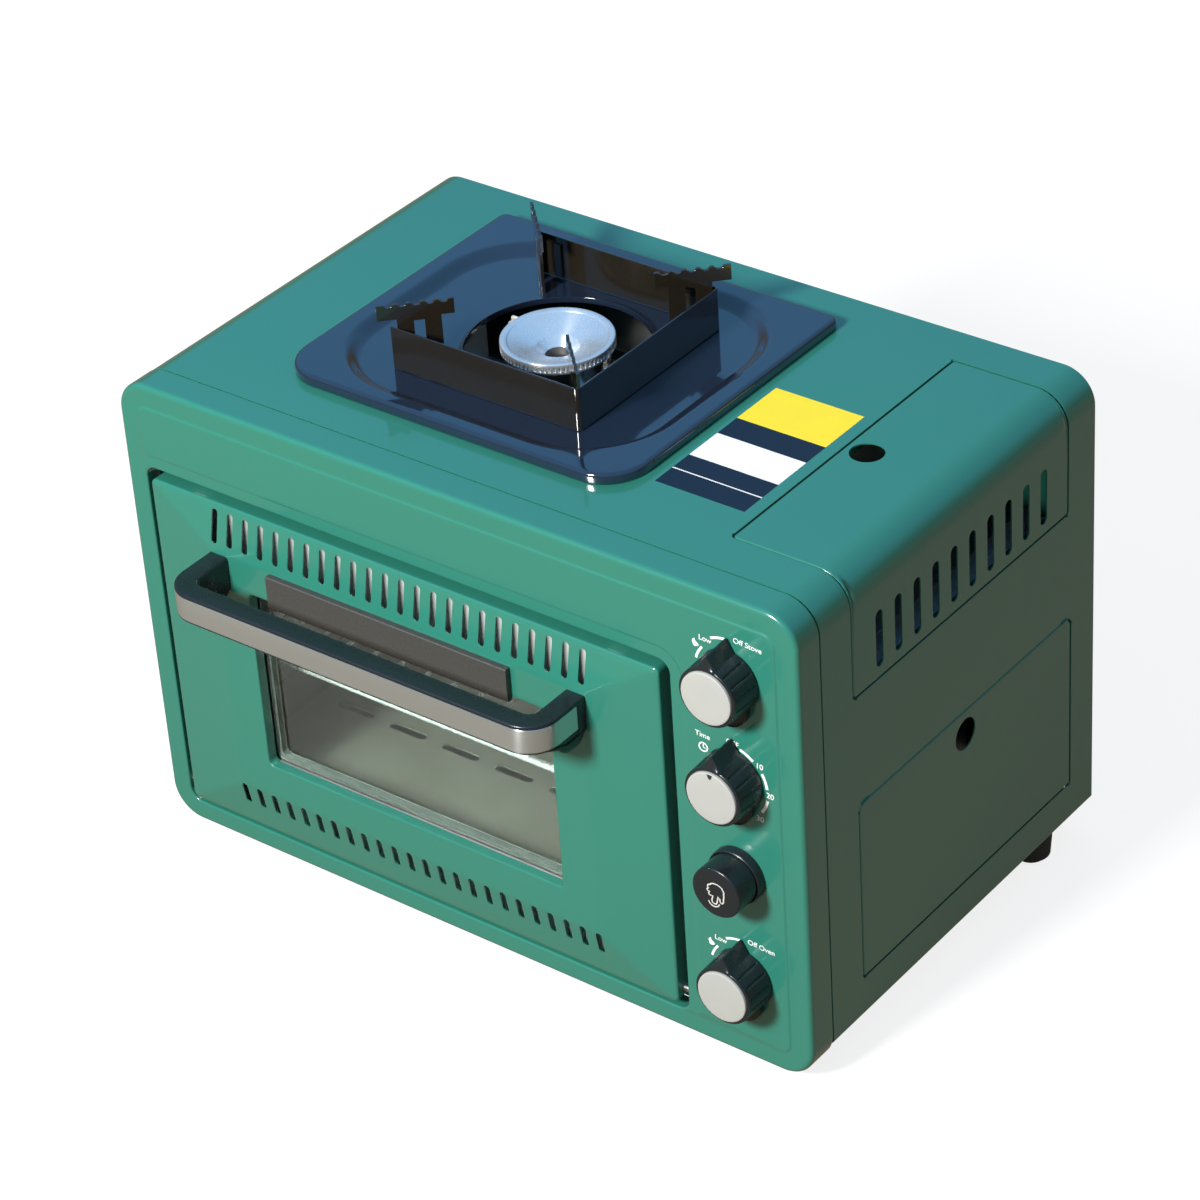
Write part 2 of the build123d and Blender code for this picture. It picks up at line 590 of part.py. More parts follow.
# ---------------------------------------------------------------- oven door
def door_frustum(inset, y_edge, y_middle):
    """Room between the door's edge plane and its raised middle: two crossed prisms."""
    x0, x1 = DOOR_X0 + inset, DOOR_X1 - inset
    z0, z1 = DOOR_Z0 + inset, DOOR_Z1 - inset
    across = Polyline((x0, y_edge), (DOOR_X0 + FACET_SIDE, y_middle), (DOOR_X1 - FACET_SIDE, y_middle),
                      (x1, y_edge), close=True)
    along = Polyline((y_edge, z0), (y_middle, DOOR_Z0 + FACET_BOTTOM), (y_middle, DOOR_Z1 - FACET_TOP),
                     (y_edge, z1), close=True)
    upright = extrude(Pos(0, 0, z0) * make_face(across), amount=z1 - z0)
    return upright & side_slab(make_face(along), x0, x1)


def make_door_skin():
    """Pressed door: folded sides, faceted front, window and two rows of slots."""
    edge = rounded(DOOR_WIDTH, DOOR_HEIGHT, DOOR_R, DOOR_CX, DOOR_CZ)
    sides = front_slab(edge, -DOOR_PROUD, DOOR_SKIN_BACK)
    front = door_frustum(0, -DOOR_PROUD, DOOR_FACE)
    body = sides + (front & front_slab(edge, DOOR_FACE - 1, BODY_DEPTH))
    inner = rounded(DOOR_WIDTH - 2 * SHEET, DOOR_HEIGHT - 2 * SHEET, DOOR_R - SHEET, DOOR_CX, DOOR_CZ)
    body = body - front_slab(inner, -DOOR_PROUD + SHEET, DOOR_SKIN_BACK + 1)
    hollow = door_frustum(SHEET, -DOOR_PROUD + SHEET, DOOR_FACE + SHEET)
    body = body - (hollow & front_slab(inner, DOOR_FACE, 0))
    lip = rounded(WINDOW_WIDTH + 2 * SHEET, WINDOW_HEIGHT + 2 * SHEET, WINDOW_R + SHEET,
                  WINDOW_CX, WINDOW_CZ)
    body = body + front_slab(lip, DOOR_FACE + SHEET / 2, GLASS_Y)
    window = rounded(WINDOW_WIDTH, WINDOW_HEIGHT, WINDOW_R, WINDOW_CX, WINDOW_CZ)
    body = body - front_slab(window, DOOR_FACE - 1, BODY_DEPTH)
    slots = []
    top_z = DOOR_Z1 - TOP_SLOT_INSET - TOP_SLOT_LENGTH / 2
    bottom_z = DOOR_Z0 + BOTTOM_SLOT_INSET + BOTTOM_SLOT_LENGTH / 2
    for z, length in ((top_z, TOP_SLOT_LENGTH), (bottom_z, BOTTOM_SLOT_LENGTH)):
        slot = front_slab(SlotOverall(length, DOOR_SLOT_WIDTH, rotation=90), DOOR_FACE - 1, SHEET)
        for i in range(DOOR_SLOTS):
            x = DOOR_CX + (i - (DOOR_SLOTS - 1) / 2) * DOOR_SLOT_PITCH
            slots.append(Pos(x, 0, z) * slot)
    body = body - slots
    bore = HINGE_PIN_R + PIN_PLAY
    return body - rod_x(bore, DOOR_X0 - 1, DOOR_X1 + 1, HINGE_Y, HINGE_Z)


def make_door_liner():
    """Bright inner panel, folded forward inside the door's sides."""
    y0 = DOOR_SKIN_BACK
    fit = SHEET + SEAT
    outer = rounded(DOOR_WIDTH - 2 * fit, DOOR_HEIGHT - 2 * fit, DOOR_R - fit / 2, DOOR_CX, DOOR_CZ)
    inset = fit + LINER_SHEET
    inner = rounded(DOOR_WIDTH - 2 * inset, DOOR_HEIGHT - 2 * inset, DOOR_R - inset / 2, DOOR_CX, DOOR_CZ)
    lip_y = HINGE_Y + HINGE_PIN_R + 1
    body = front_slab(outer, lip_y, y0 + LINER_SHEET) - front_slab(inner, lip_y - 1, y0)
    window = rounded(WINDOW_WIDTH, WINDOW_HEIGHT, WINDOW_R, WINDOW_CX, WINDOW_CZ)
    return body - front_slab(window, 0, y0 + 5)


def make_door_glass():
    size = (WINDOW_WIDTH + 2 * GLASS_LAP, WINDOW_HEIGHT + 2 * GLASS_LAP)
    return front_slab(rounded(*size, WINDOW_R + 2, WINDOW_CX, WINDOW_CZ), GLASS_Y, GLASS_Y + GLASS_THICK)


def make_glass_frame():
    """Steel frame that holds the pane against the lip around the window."""
    lap = GLASS_LAP + FRAME_LAP
    y1 = GLASS_Y + GLASS_THICK + LINER_SHEET
    outer = rounded(WINDOW_WIDTH + 2 * lap, WINDOW_HEIGHT + 2 * lap, WINDOW_R + 4, WINDOW_CX, WINDOW_CZ)
    lap = lap - LINER_SHEET
    inner = rounded(WINDOW_WIDTH + 2 * lap, WINDOW_HEIGHT + 2 * lap, WINDOW_R + 3, WINDOW_CX, WINDOW_CZ)
    body = front_slab(outer, DOOR_FACE + SHEET, y1) - front_slab(inner, DOOR_FACE, y1 - LINER_SHEET)
    window = rounded(WINDOW_WIDTH, WINDOW_HEIGHT, WINDOW_R, WINDOW_CX, WINDOW_CZ)
    return body - front_slab(window, 0, y1 + 1)


def make_window_bead():
    """Bright channel that edges the pane along the foot of the window."""
    x0 = WINDOW_X0 + WINDOW_R
    x1 = x0 + WINDOW_WIDTH - 2 * WINDOW_R
    z0 = WINDOW_Z0
    bead = block(x0, x1, GLASS_Y - BEAD_DEPTH, GLASS_Y, z0, z0 + BEAD_SHEET)
    return bead + block(x0, x1, GLASS_Y - BEAD_SHEET, GLASS_Y, z0, z0 + BEAD_DEPTH)


def make_heat_deflector():
    """Folded steel strip over the window, under the handle."""
    x0 = WINDOW_X0 + STRIP_INSET
    x1 = x0 + STRIP_WIDTH
    z0 = WINDOW_Z0 + WINDOW_HEIGHT - STRIP_LAP
    z1 = z0 + STRIP_HEIGHT
    strip = block(x0, x1, DOOR_FACE - STRIP_DEPTH, DOOR_FACE, z0, z1)
    strip = fillet(strip.edges().filter_by(Axis.X).sort_by(Axis.Y)[:2], 1)
    face = DOOR_FACE - STRIP_DEPTH + SHEET
    return strip - block(x0 + SHEET, x1 - SHEET, face, DOOR_FACE + 1, z0 - 1, z1 - SHEET)


def handle_path(inset):
    """Plan of the handle, (x, y), inset from its outer outline."""
    x0 = HANDLE_X0 + inset
    x1 = HANDLE_X1 - inset
    y = -HANDLE_REACH + inset
    sketch = Pos((x0 + x1) / 2, (y + DOOR_FACE) / 2) * Rectangle(x1 - x0, DOOR_FACE - y)
    return fillet(sketch.vertices().group_by(Axis.Y)[0], HANDLE_R - inset)


def handle_slice(inset, z0, z1):
    return extrude(Pos(0, 0, z0) * handle_path(inset), amount=z1 - z0)


def make_handle_grip():
    """Heat-proof U-shaped grip with deepened feet and a recess for the band."""
    z0, z1 = HANDLE_Z0, HANDLE_Z1
    foot_z = z0 - HANDLE_FOOT
    body = handle_slice(0, foot_z, z1) - handle_slice(HANDLE_DEPTH, foot_z - 1, z1 + 1)
    reach = HANDLE_REACH + DOOR_FACE
    contour = Polyline((DOOR_FACE + 1, foot_z + 0.7 * HANDLE_FOOT), (DOOR_FACE, foot_z + 0.7 * HANDLE_FOOT),
                       (DOOR_FACE - reach / 8, foot_z), (DOOR_FACE - 0.4 * reach, foot_z),
                       (DOOR_FACE - 0.67 * reach, z0), (-HANDLE_REACH - 1, z0),
                       (-HANDLE_REACH - 1, foot_z - 2), (DOOR_FACE + 1, foot_z - 2), close=True)
    body = body - side_slab(make_face(contour), LEFT, RIGHT)
    body = fillet(body.edges().group_by(Axis.Z)[-1], HANDLE_EDGE_R)
    recess = handle_slice(-1, z0 + BAND_LIP, z1 - BAND_TOP) - handle_slice(BAND_THICK, z0, z1)
    return body - (recess - block(LEFT, RIGHT, DOOR_FACE - BAND_END, 0, z0 - 1, z1 + 1))


def make_handle_band():
    """Stainless band around the front and both ends of the grip."""
    low, high = HANDLE_Z0 + BAND_LIP, HANDLE_Z1 - BAND_TOP
    band = handle_slice(0, low, high) - handle_slice(BAND_THICK, low - 1, high + 1)
    return band - block(LEFT, RIGHT, DOOR_FACE - BAND_END, 0, low - 1, high + 1)


def make_handle_screws():
    """Screws through the door skin into the grip's feet."""
    y = DOOR_FACE + SHEET
    z = HANDLE_Z0 + SCREW_INSET
    ends = (HANDLE_X0 + HANDLE_DEPTH / 2, HANDLE_X1 - HANDLE_DEPTH / 2)
    return [rod_y(SCREW_R, x, y, y + SCREW_RISE, z) for x in ends]


def make_door_pins():
    """Hinge pins on brackets at the door's lower corners."""
    pins = []
    for side, x in ((1, DOOR_X0), (-1, DOOR_X1)):
        inner = x + side * (SHEET + SEAT + LINER_SHEET + SEAT)
        tip = x - side * (DOOR_GAP + SHEET)
        pin = rod_x(HINGE_PIN_R, min(inner, tip), max(inner, tip), HINGE_Y, HINGE_Z)
        head = inner + side * HINGE_HEAD_LENGTH
        pin = pin + rod_x(HINGE_PIN_R + HINGE_HEAD, min(inner, head), max(inner, head), HINGE_Y, HINGE_Z)
        pins.append(pin)
    return pins


def make_door_catches():
    """Two nylon catches that hang from the top lip of the door opening."""
    y1 = OPENING_RETURN - 2 * SHEET
    z1 = DOOR_Z1 + DOOR_GAP
    half = CATCH_WIDTH / 2
    places = (DOOR_X0 + CATCH_SIDE, DOOR_X1 - CATCH_SIDE)
    return [block(x - half, x + half, y1 - CATCH_DEPTH, y1, z1 - CATCH_HEIGHT, z1) for x in places]


# ---------------------------------------------------------------- controls
def knob_axis(z):
    return Pos(CONTROL_X, 0, z)


def make_knob(z):
    """Fluted skirt with a pointer wedge, hollow at the back around its boss."""
    deep = KNOB_HEIGHT
    skirt = Pos(0, -deep / 2, 0) * Rot(90, 0, 0) * Cone(KNOB_R, KNOB_CAP_R + KNOB_RIM, deep)
    skirt = chamfer(skirt.edges().sort_by(Axis.Y)[0], KNOB_RIM / 2)
    root = KNOB_CAP_R - KNOB_RIM
    wedge = Polyline((-POINTER_ROOT, root), (-POINTER_TIP, POINTER_REACH), (POINTER_TIP, POINTER_REACH),
                     (POINTER_ROOT, root), close=True)
    shoulder = 0.72 * deep
    pointer = front_slab(make_face(wedge), -shoulder, 0)
    side = deep - 2 * KNOB_WALL
    slope = Pos(0, -shoulder, POINTER_REACH) * Rot(32, 0, 0) * Box(KNOB_R, side, side)
    body = skirt + (pointer - slope)
    grooves = []
    for i in range(KNOB_FLUTES):
        angle = 360 * (i + 0.5) / KNOB_FLUTES
        if 40 < angle < 320:
            groove = Pos(0, -deep / 2, KNOB_R) * Box(KNOB_RIM / 2, deep + 1, KNOB_RIM)
            grooves.append(Rot(0, angle, 0) * groove)
    body = body - grooves
    boss_end = -deep + KNOB_WALL
    body = body - rod_y(KNOB_CAP_R + PIN_PLAY, 0, -deep - 1, -deep + CAP_SINK, 0)
    body = body - rod_y(KNOB_R - KNOB_WALL, 0, boss_end + CAP_SINK, 1, 0)
    body = body + rod_y(STEM_R + KNOB_WALL, 0, boss_end, 0, 0)
    body = body - rod_y(STEM_R, 0, boss_end + 2 * CAP_SINK, 1, 0)
    return knob_axis(z) * Pos(0, FIELD_FACE - KNOB_GAP, 0) * body


def make_knob_cap(z):
    """Satin metal disc set into the knob's face."""
    cap = rod_y(KNOB_CAP_R, 0, -KNOB_HEIGHT - CAP_PROUD, -KNOB_HEIGHT + CAP_SINK, 0)
    cap = chamfer(cap.edges().sort_by(Axis.Y)[0], CAP_PROUD)
    return knob_axis(z) * Pos(0, FIELD_FACE - KNOB_GAP, 0) * cap


def make_stem(z):
    """Stem from the knob's boss into its valve or timer."""
    front = FIELD_FACE - KNOB_GAP - KNOB_HEIGHT + KNOB_WALL + 2 * CAP_SINK
    return knob_axis(z) * rod_y(STEM_R, 0, front, STEM_LENGTH, 0)


def stem_socket():
    """Bore that takes the inner end of a stem."""
    return rod_y(STEM_R + PIN_PLAY, 0, PLATE_BACK - 1, STEM_LENGTH + BUTTON_TRAVEL, 0)


def make_control_bracket():
    """Plate behind the bezel that carries valves, timer and igniter."""
    half = CONTROL_PLATE
    plate = block(CONTROL_X - half, CONTROL_X + half, SHEET, PLATE_BACK,
                  BEZEL_Z + half, TOP - CONTROL_PLATE_END)
    for z in (STOVE_Z, TIMER_Z, OVEN_Z, BUTTON_Z):
        plate = plate - rod_y(STEM_R + STEM_HOLE, CONTROL_X, 0, PLATE_BACK + 1, z)
    return plate


def make_valve(z):
    """Brass gas valve: square head, round barrel and an inlet lug."""
    y0 = PLATE_BACK
    head = VALVE_HALF
    body = block(-head, head, y0, y0 + VALVE_HEAD, -head, head)
    body = body + rod_y(VALVE_R, 0, y0 + VALVE_HEAD - 1, y0 + VALVE_LENGTH, 0)
    body = body + rod_x(VALVE_LUG_R, 0, VALVE_INLET, y0 + VALVE_INLET_Y, 0)
    if z == STOVE_Z:
        body = body + rod_x(VALVE_LUG_R, -VALVE_OUTLET, 0, y0 + VALVE_OUTLET_Y, 0)
    return knob_axis(z) * (body - stem_socket())


def make_timer():
    """Clockwork timer: square case with rounded corners and a round movement behind."""
    y1 = PLATE_BACK + TIMER_DEPTH
    body = front_slab(RectangleRounded(2 * TIMER_HALF, 2 * TIMER_HALF, TIMER_HALF / 3), PLATE_BACK, y1)
    body = body + rod_y(TIMER_HALF * 2 / 3, 0, y1 - 1, y1 + TIMER_DEPTH / 3, 0)
    return knob_axis(TIMER_Z) * (body - stem_socket())


def make_igniter():
    """Piezo igniter barrel behind the push button."""
    y0 = PLATE_BACK
    end = y0 + IGNITER_LENGTH
    flange = IGNITER_R + BRACKET_THICK
    body = block(-flange, flange, y0, y0 + 2 * BRACKET_THICK, -IGNITER_R - STEM_R, IGNITER_R + STEM_R)
    body = body + rod_y(IGNITER_R, 0, y0 + 1, end, 0)
    body = body + rod_y(IGNITER_R / 3, 0, end - 1, end + IGNITER_R, 0)
    return knob_axis(BUTTON_Z) * (body - stem_socket())


def make_button():
    """Ignition push button with its plunger; it travels straight in."""
    rear = FIELD_FACE - BUTTON_TRAVEL - BUTTON_STOP
    body = rod_y(BUTTON_R, 0, -BUTTON_HEIGHT, rear, 0)
    body = fillet(body.edges().sort_by(Axis.Y)[0], BEZEL_EDGE_R / 2)
    stem = rod_y(STEM_R, 0, rear - 1, STEM_LENGTH - BUTTON_STOP, 0)
    return knob_axis(BUTTON_Z) * (body + stem)


def make_button_collar():
    """Fixed sleeve that the push button slides in."""
    front = FIELD_FACE - COLLAR_HEIGHT
    body = rod_y(COLLAR_R, 0, front, FIELD_FACE, 0)
    body = chamfer(body.edges().sort_by(Axis.Y)[0], COLLAR_R - BUTTON_R - 1)
    return knob_axis(BUTTON_Z) * (body - rod_y(BUTTON_R + SEAT, 0, front - 1, FIELD_FACE + 1, 0))


# ---------------------------------------------------------------- cartridge lid and side hatch
def make_lid():
    """Lid that follows the shell over its corner, with flanged ends, slots and finger hole."""
    room = lid_box(0)
    skin = arch_band(SEAT, SHEET, LID_Z0, LID_FRONT, LID_BACK) & room
    ends = arch_band(SEAT, LID_FLANGE, LID_Z0, LID_FRONT, LID_FRONT + SHEET) & room
    rear = arch_band(SEAT, LID_FLANGE, LID_Z0, LID_BACK - SHEET, LID_BACK) & room
    hem = block(LID_X0, LID_X0 + SHEET, LID_FRONT, LID_BACK, SHELL_TOP - LID_FLANGE, SHELL_TOP)
    body = skin + ends + rear + hem
    slots = []
    z = LID_Z0 + LID_SLOT_RISE + LID_SLOT_LENGTH / 2
    for i in range(LID_SLOTS):
        y = LID_MID_Y + (i - (LID_SLOTS - 1) / 2) * LID_SLOT_PITCH
        outline = Pos(y, z) * SlotOverall(LID_SLOT_LENGTH, LID_SLOT_WIDTH, rotation=90)
        slots.append(side_slab(outline, SHELL_X - SHEET - 1, SHELL_X + 1))
    body = body - slots
    finger_x = LID_X0 + LID_FINGER_INSET + FINGER_R
    body = body - rod_z(FINGER_R, finger_x, LID_MID_Y, TOP - LID_FLANGE, TOP + 1)
    axis_z = LID_Z0 + LID_PIN_INSET
    return body - rod_y(LID_PIN_R + PIN_PLAY, SIDE_AXIS_X, LID_FRONT - 1, LID_BACK + 1, axis_z)


def make_hatch():
    """Flat side hatch with folded edges and a finger hole near its top."""
    x1 = SHELL_X
    body = side_slab(hatch_outline(0), x1 - LID_FLANGE, x1)
    body = body - side_slab(hatch_outline(SHEET), x1 - LID_FLANGE - 1, x1 - SHEET)
    hole_y = (HATCH_FRONT + HATCH_BACK) / 2 - HATCH_FINGER_SHIFT
    hole_z = HATCH_Z1 - FINGER_R - HATCH_FINGER_DROP
    body = body - rod_x(FINGER_R, x1 - SHEET - 1, x1 + 1, hole_y, hole_z)
    axis_z = HATCH_Z0 + LID_PIN_INSET
    return body - rod_y(LID_PIN_R + PIN_PLAY, SIDE_AXIS_X, HATCH_FRONT - 1, HATCH_BACK + 1, axis_z)


def make_side_hinges(front, back, z_low):
    """Two pins on blocks behind the shell, one past each end of a lid."""
    pins = []
    z = z_low + LID_PIN_INSET
    for y_end, side in ((front, -1), (back, 1)):
        y_near = y_end + side * (LID_GAP + HINGE_BLOCK_GAP)
        y_far = y_near + side * HINGE_BLOCK_WIDE
        y_tip = y_end - side * LID_PIN_REACH
        base = block(SIDE_AXIS_X - HINGE_BLOCK, SHELL_X - SHEET, min(y_far, y_near), max(y_far, y_near),
                     z - HINGE_BLOCK, z + HINGE_BLOCK)
        pins.append(base + rod_y(LID_PIN_R, SIDE_AXIS_X, min(y_near, y_tip), max(y_near, y_tip), z))
    return pins


# ---------------------------------------------------------------- hob
def plan(width, depth, radius, z):
    return Pos(HOB_CX, HOB_Y, z) * RectangleRounded(width, depth, radius)


def pan_outline(inset, z):
    """Outline of the drip pan: generous front corners, tight rear ones."""
    sketch = Pos(HOB_CX, HOB_Y, z) * Rectangle(PAN_WIDTH - 2 * inset, PAN_DEPTH - 2 * inset)
    sketch = fillet(sketch.vertices().group_by(Axis.Y)[0], PAN_FRONT_R - inset)
    return fillet(sketch.vertices().group_by(Axis.Y)[-1], PAN_REAR_R - inset)


def basin(inset, z_top, z_floor):
    """Tapered room of the basin."""
    width = PAN_WIDTH - 2 * (BASIN_INSET + inset)
    depth = PAN_DEPTH - 2 * (BASIN_FRONT + inset)
    low = plan(width - 2 * BASIN_SLOPE, depth - 2 * BASIN_SLOPE, BASIN_R - BASIN_SLOPE, z_floor)
    return loft([low, plan(width, depth, BASIN_R, z_top)])


def make_drip_pan():
    """Enamelled pan: rolled rim, flat flange, basin and a lipped burner hole."""
    z0 = SHELL_TOP
    top = z0 + PAN_RISE
    body = extrude(pan_outline(0, z0), amount=PAN_RISE)
    body = fillet(body.edges().group_by(Axis.Z)[-1], PAN_EDGE_R)
    body = body - extrude(pan_outline(PAN_SHEET, z0 - 1), amount=PAN_RISE + 1 - PAN_SHEET)
    body = body + basin(-PAN_SHEET, top - PAN_SHEET / 2, z0 + SEAT)
    body = body - basin(0, top + 0.01, z0 + SEAT + PAN_SHEET)
    body = body + rod_z(HOLE_R + PAN_SHEET, HOB_CX, HOB_Y, z0 + SEAT, z0 + HOLE_LIP)
    return body - rod_z(HOLE_R, HOB_CX, HOB_Y, z0 - 1, top + 1)


def floor_top():
    """Upper face of the pan's basin floor."""
    return SHELL_TOP + SEAT + PAN_SHEET


def make_wind_screen():
    """Folded three-sided screen, open to the left."""
    z0 = floor_top() + SEAT
    half = SCREEN_SIZE / 2
    outer = Pos(HOB_CX, HOB_Y, z0) * Rectangle(SCREEN_SIZE, SCREEN_SIZE)
    outer = fillet(outer.vertices().group_by(Axis.X)[-1], SCREEN_R)
    bare = SCREEN_SIZE - 2 * SCREEN_SHEET
    inner = Pos(HOB_CX - half, HOB_Y, z0 - 1) * Rectangle(SCREEN_SIZE + bare, bare)
    inner = fillet(inner.vertices().group_by(Axis.X)[-1], SCREEN_R - SCREEN_SHEET)
    return extrude(outer, amount=SCREEN_HEIGHT) - extrude(inner, amount=SCREEN_HEIGHT + 2)


def make_pot_support(x_side, y_side):
    """Diagonal notched plate with two legs and a tab along the screen's wall."""
    z0 = floor_top()
    z1 = TOP + SUPPORT_TOP
    bar = z1 - SUPPORT_BAR
    arch = bar - SUPPORT_ARCH
    wall = SCREEN_SIZE / 2 - SCREEN_SHEET
    leg_out = wall * sqrt(2) - SUPPORT_CORNER
    leg_in = SUPPORT_IN + SUPPORT_LEG_INSET
    outline = Polyline((leg_in, z0), (leg_in + SUPPORT_LEG, z0), (leg_in + SUPPORT_LEG, arch),
                       (leg_out - SUPPORT_LEG, arch), (leg_out - SUPPORT_LEG, z0), (leg_out, z0),
                       (leg_out, bar), (SUPPORT_OUT, bar), (SUPPORT_OUT, z1), (SUPPORT_IN, z1),
                       (SUPPORT_IN, bar), (leg_in, bar), close=True)
    plane = Plane(origin=(0, SUPPORT_THICK / 2, 0), x_dir=(1, 0, 0), z_dir=(0, -1, 0))
    plate = extrude(plane * make_face(outline), amount=SUPPORT_THICK)
    notches = []
    for i in range(SUPPORT_NOTCHES):
        reach = SUPPORT_IN + NOTCH_START + i * NOTCH_PITCH
        notches.append(rod_y(NOTCH_R, reach, -SUPPORT_THICK, SUPPORT_THICK, z1 + NOTCH_LIFT))
    plate = plate - notches
    angle = {(1, 1): 45, (-1, 1): 135, (-1, -1): 225, (1, -1): 315}[(x_side, y_side)]
    plate = Rot(0, 0, angle) * plate
    xs = sorted((x_side * (wall - TAB_REACH), x_side * (wall - TAB_CORNER)))
    ys = sorted((y_side * wall, y_side * (wall - TAB_THICK)))
    tab = block(*xs, *ys, z0 + SUPPORT_ARCH, z0 + SCREEN_HEIGHT - 2 * SUPPORT_ARCH)
    return Pos(HOB_CX, HOB_Y, 0) * (plate + tab)


def make_burner_head():
    """Aluminium head: conical dish with a steeper throat, and a ring of flame ports."""
    z1 = SHELL_TOP + BURNER_TOP
    r = BURNER_R
    seat = z1 - HEAD_SEAT
    foot = z1 - THROAT_DROP
    profile = Polyline((0, foot), (THROAT_R, foot), (DISH_R, z1 - DISH_DROP), (r - HEAD_RIM, z1),
                       (r - HEAD_EDGE, z1), (r, z1 - HEAD_EDGE), (r, seat + HEAD_EDGE),
                       (r - HEAD_STEP, seat), (r - HEAD_STEP, seat - HEAD_WALL),
                       (DISH_R + HEAD_WALL, seat - HEAD_WALL), (THROAT_R + HEAD_WALL, foot - HEAD_WALL),
                       (0, foot - HEAD_WALL), close=True)
    plane = Plane(origin=(0, 0, 0), x_dir=(1, 0, 0), z_dir=(0, -1, 0))
    body = revolve(plane * make_face(profile), axis=Axis.Z)
    ports = []
    for i in range(BURNER_PORTS):
        port = Pos(r, 0, z1 - 2 * HEAD_EDGE - PORT_HEIGHT / 2) * Box(2 * HEAD_EDGE, PORT_WIDTH, PORT_HEIGHT)
        ports.append(Rot(0, 0, i * 360 / BURNER_PORTS) * port)
    return Pos(HOB_CX, HOB_Y, 0) * (body - ports)


def make_burner_cup():
    """Pressed steel mixing cup under the head, with a spigot for the tube."""
    z1 = SHELL_TOP + BURNER_TOP - HEAD_SEAT
    z0 = CUP_FOOT
    r = CUP_R
    profile = Polyline((0, z0), (r - 10, z0), (r - 6, z0 + 8), (r - 1, z1 - 8), (r, z1), (r - 1, z1),
                       (r - 2, z1 - 8), (r - 7, z0 + 9), (r - 10.5, z0 + 1), (0, z0 + 1), close=True)
    plane = Plane(origin=(0, 0, 0), x_dir=(1, 0, 0), z_dir=(0, -1, 0))
    cup = Pos(HOB_CX, HOB_Y, 0) * revolve(plane * make_face(profile), axis=Axis.Z)
    spigot = Pos(0, 0, 1.5 * CUP_R) * Cylinder(TUBE_R + SEAT, 2 * CUP_R)
    return cup - hob_tube_axis() * spigot


def tube_mouth():
    """Centre of the mixing tube's open end, behind the stove valve."""
    return Vector(DIVIDER + TUBE_MOUTH, TUBE_MOUTH_Y, TUBE_Z)


def hob_tube_axis():
    """Location at the hob axis whose z axis points along the mixing tube to the valve."""
    start = Vector(HOB_CX, HOB_Y, TUBE_Z)
    return Plane(origin=start, z_dir=(tube_mouth() - start)).location


def hob_tube_crossing():
    """(y, z) where the mixing tube passes the heat shield."""
    mouth = tube_mouth()
    share = (DIVIDER - HOB_CX) / (mouth.X - HOB_CX)
    return HOB_Y + (mouth.Y - HOB_Y) * share, mouth.Z


def make_mixing_tube():
    """Venturi tube from the valve's jet to the burner cup."""
    length = (tube_mouth() - Vector(HOB_CX, HOB_Y, TUBE_Z)).length
    start = CUP_R - TUBE_R
    tube = Pos(0, 0, (start + length) / 2) * Cylinder(TUBE_R, length - start)
    tube = tube + Pos(0, 0, length - TUBE_SLEEVE / 2) * Cylinder(TUBE_SLEEVE_R, TUBE_SLEEVE)
    bore = Pos(0, 0, (start + length) / 2) * Cylinder(TUBE_R - BRACKET_THICK, length - start + 2)
    return hob_tube_axis() * (tube - bore)


def make_burner_bracket():
    """Channel under the shell that carries the burner cup."""
    z0 = CUP_FOOT - BRACKET_THICK
    x0, x1 = HOB_CX - BRACKET_REACH, HOB_CX + BRACKET_REACH
    ys = (HOB_Y - BRACKET_WIDTH / 2, HOB_Y + BRACKET_WIDTH / 2)
    top = SHELL_TOP - SHEET
    body = block(x0, x1, *ys, z0, CUP_FOOT)
    for x, side in ((x0, -1), (x1, 1)):
        body = body + block(*sorted((x, x + side * BRACKET_THICK)), *ys, z0, top)
        body = body + block(*sorted((x, x + side * BRACKET_FLANGE)), *ys, top - BRACKET_THICK, top)
    pass_hole = Pos(0, 0, BRACKET_REACH) * Cylinder(TUBE_R + SHEET + SEAT, BRACKET_REACH)
    return body - hob_tube_axis() * pass_hole


def make_electrode():
    """Ceramic spark electrode beside the burner head."""
    x = HOB_CX - ELECTRODE_REACH
    y = HOB_Y + ELECTRODE_SHIFT
    tip = SHELL_TOP + BURNER_TOP - 3
    rod = rod_z(3, x, y, CUP_FOOT, SHELL_TOP + 3) + rod_z(1, x, y, SHELL_TOP + 2, tip)
    return rod + rod_x(1, x, x + 4, y, tip)


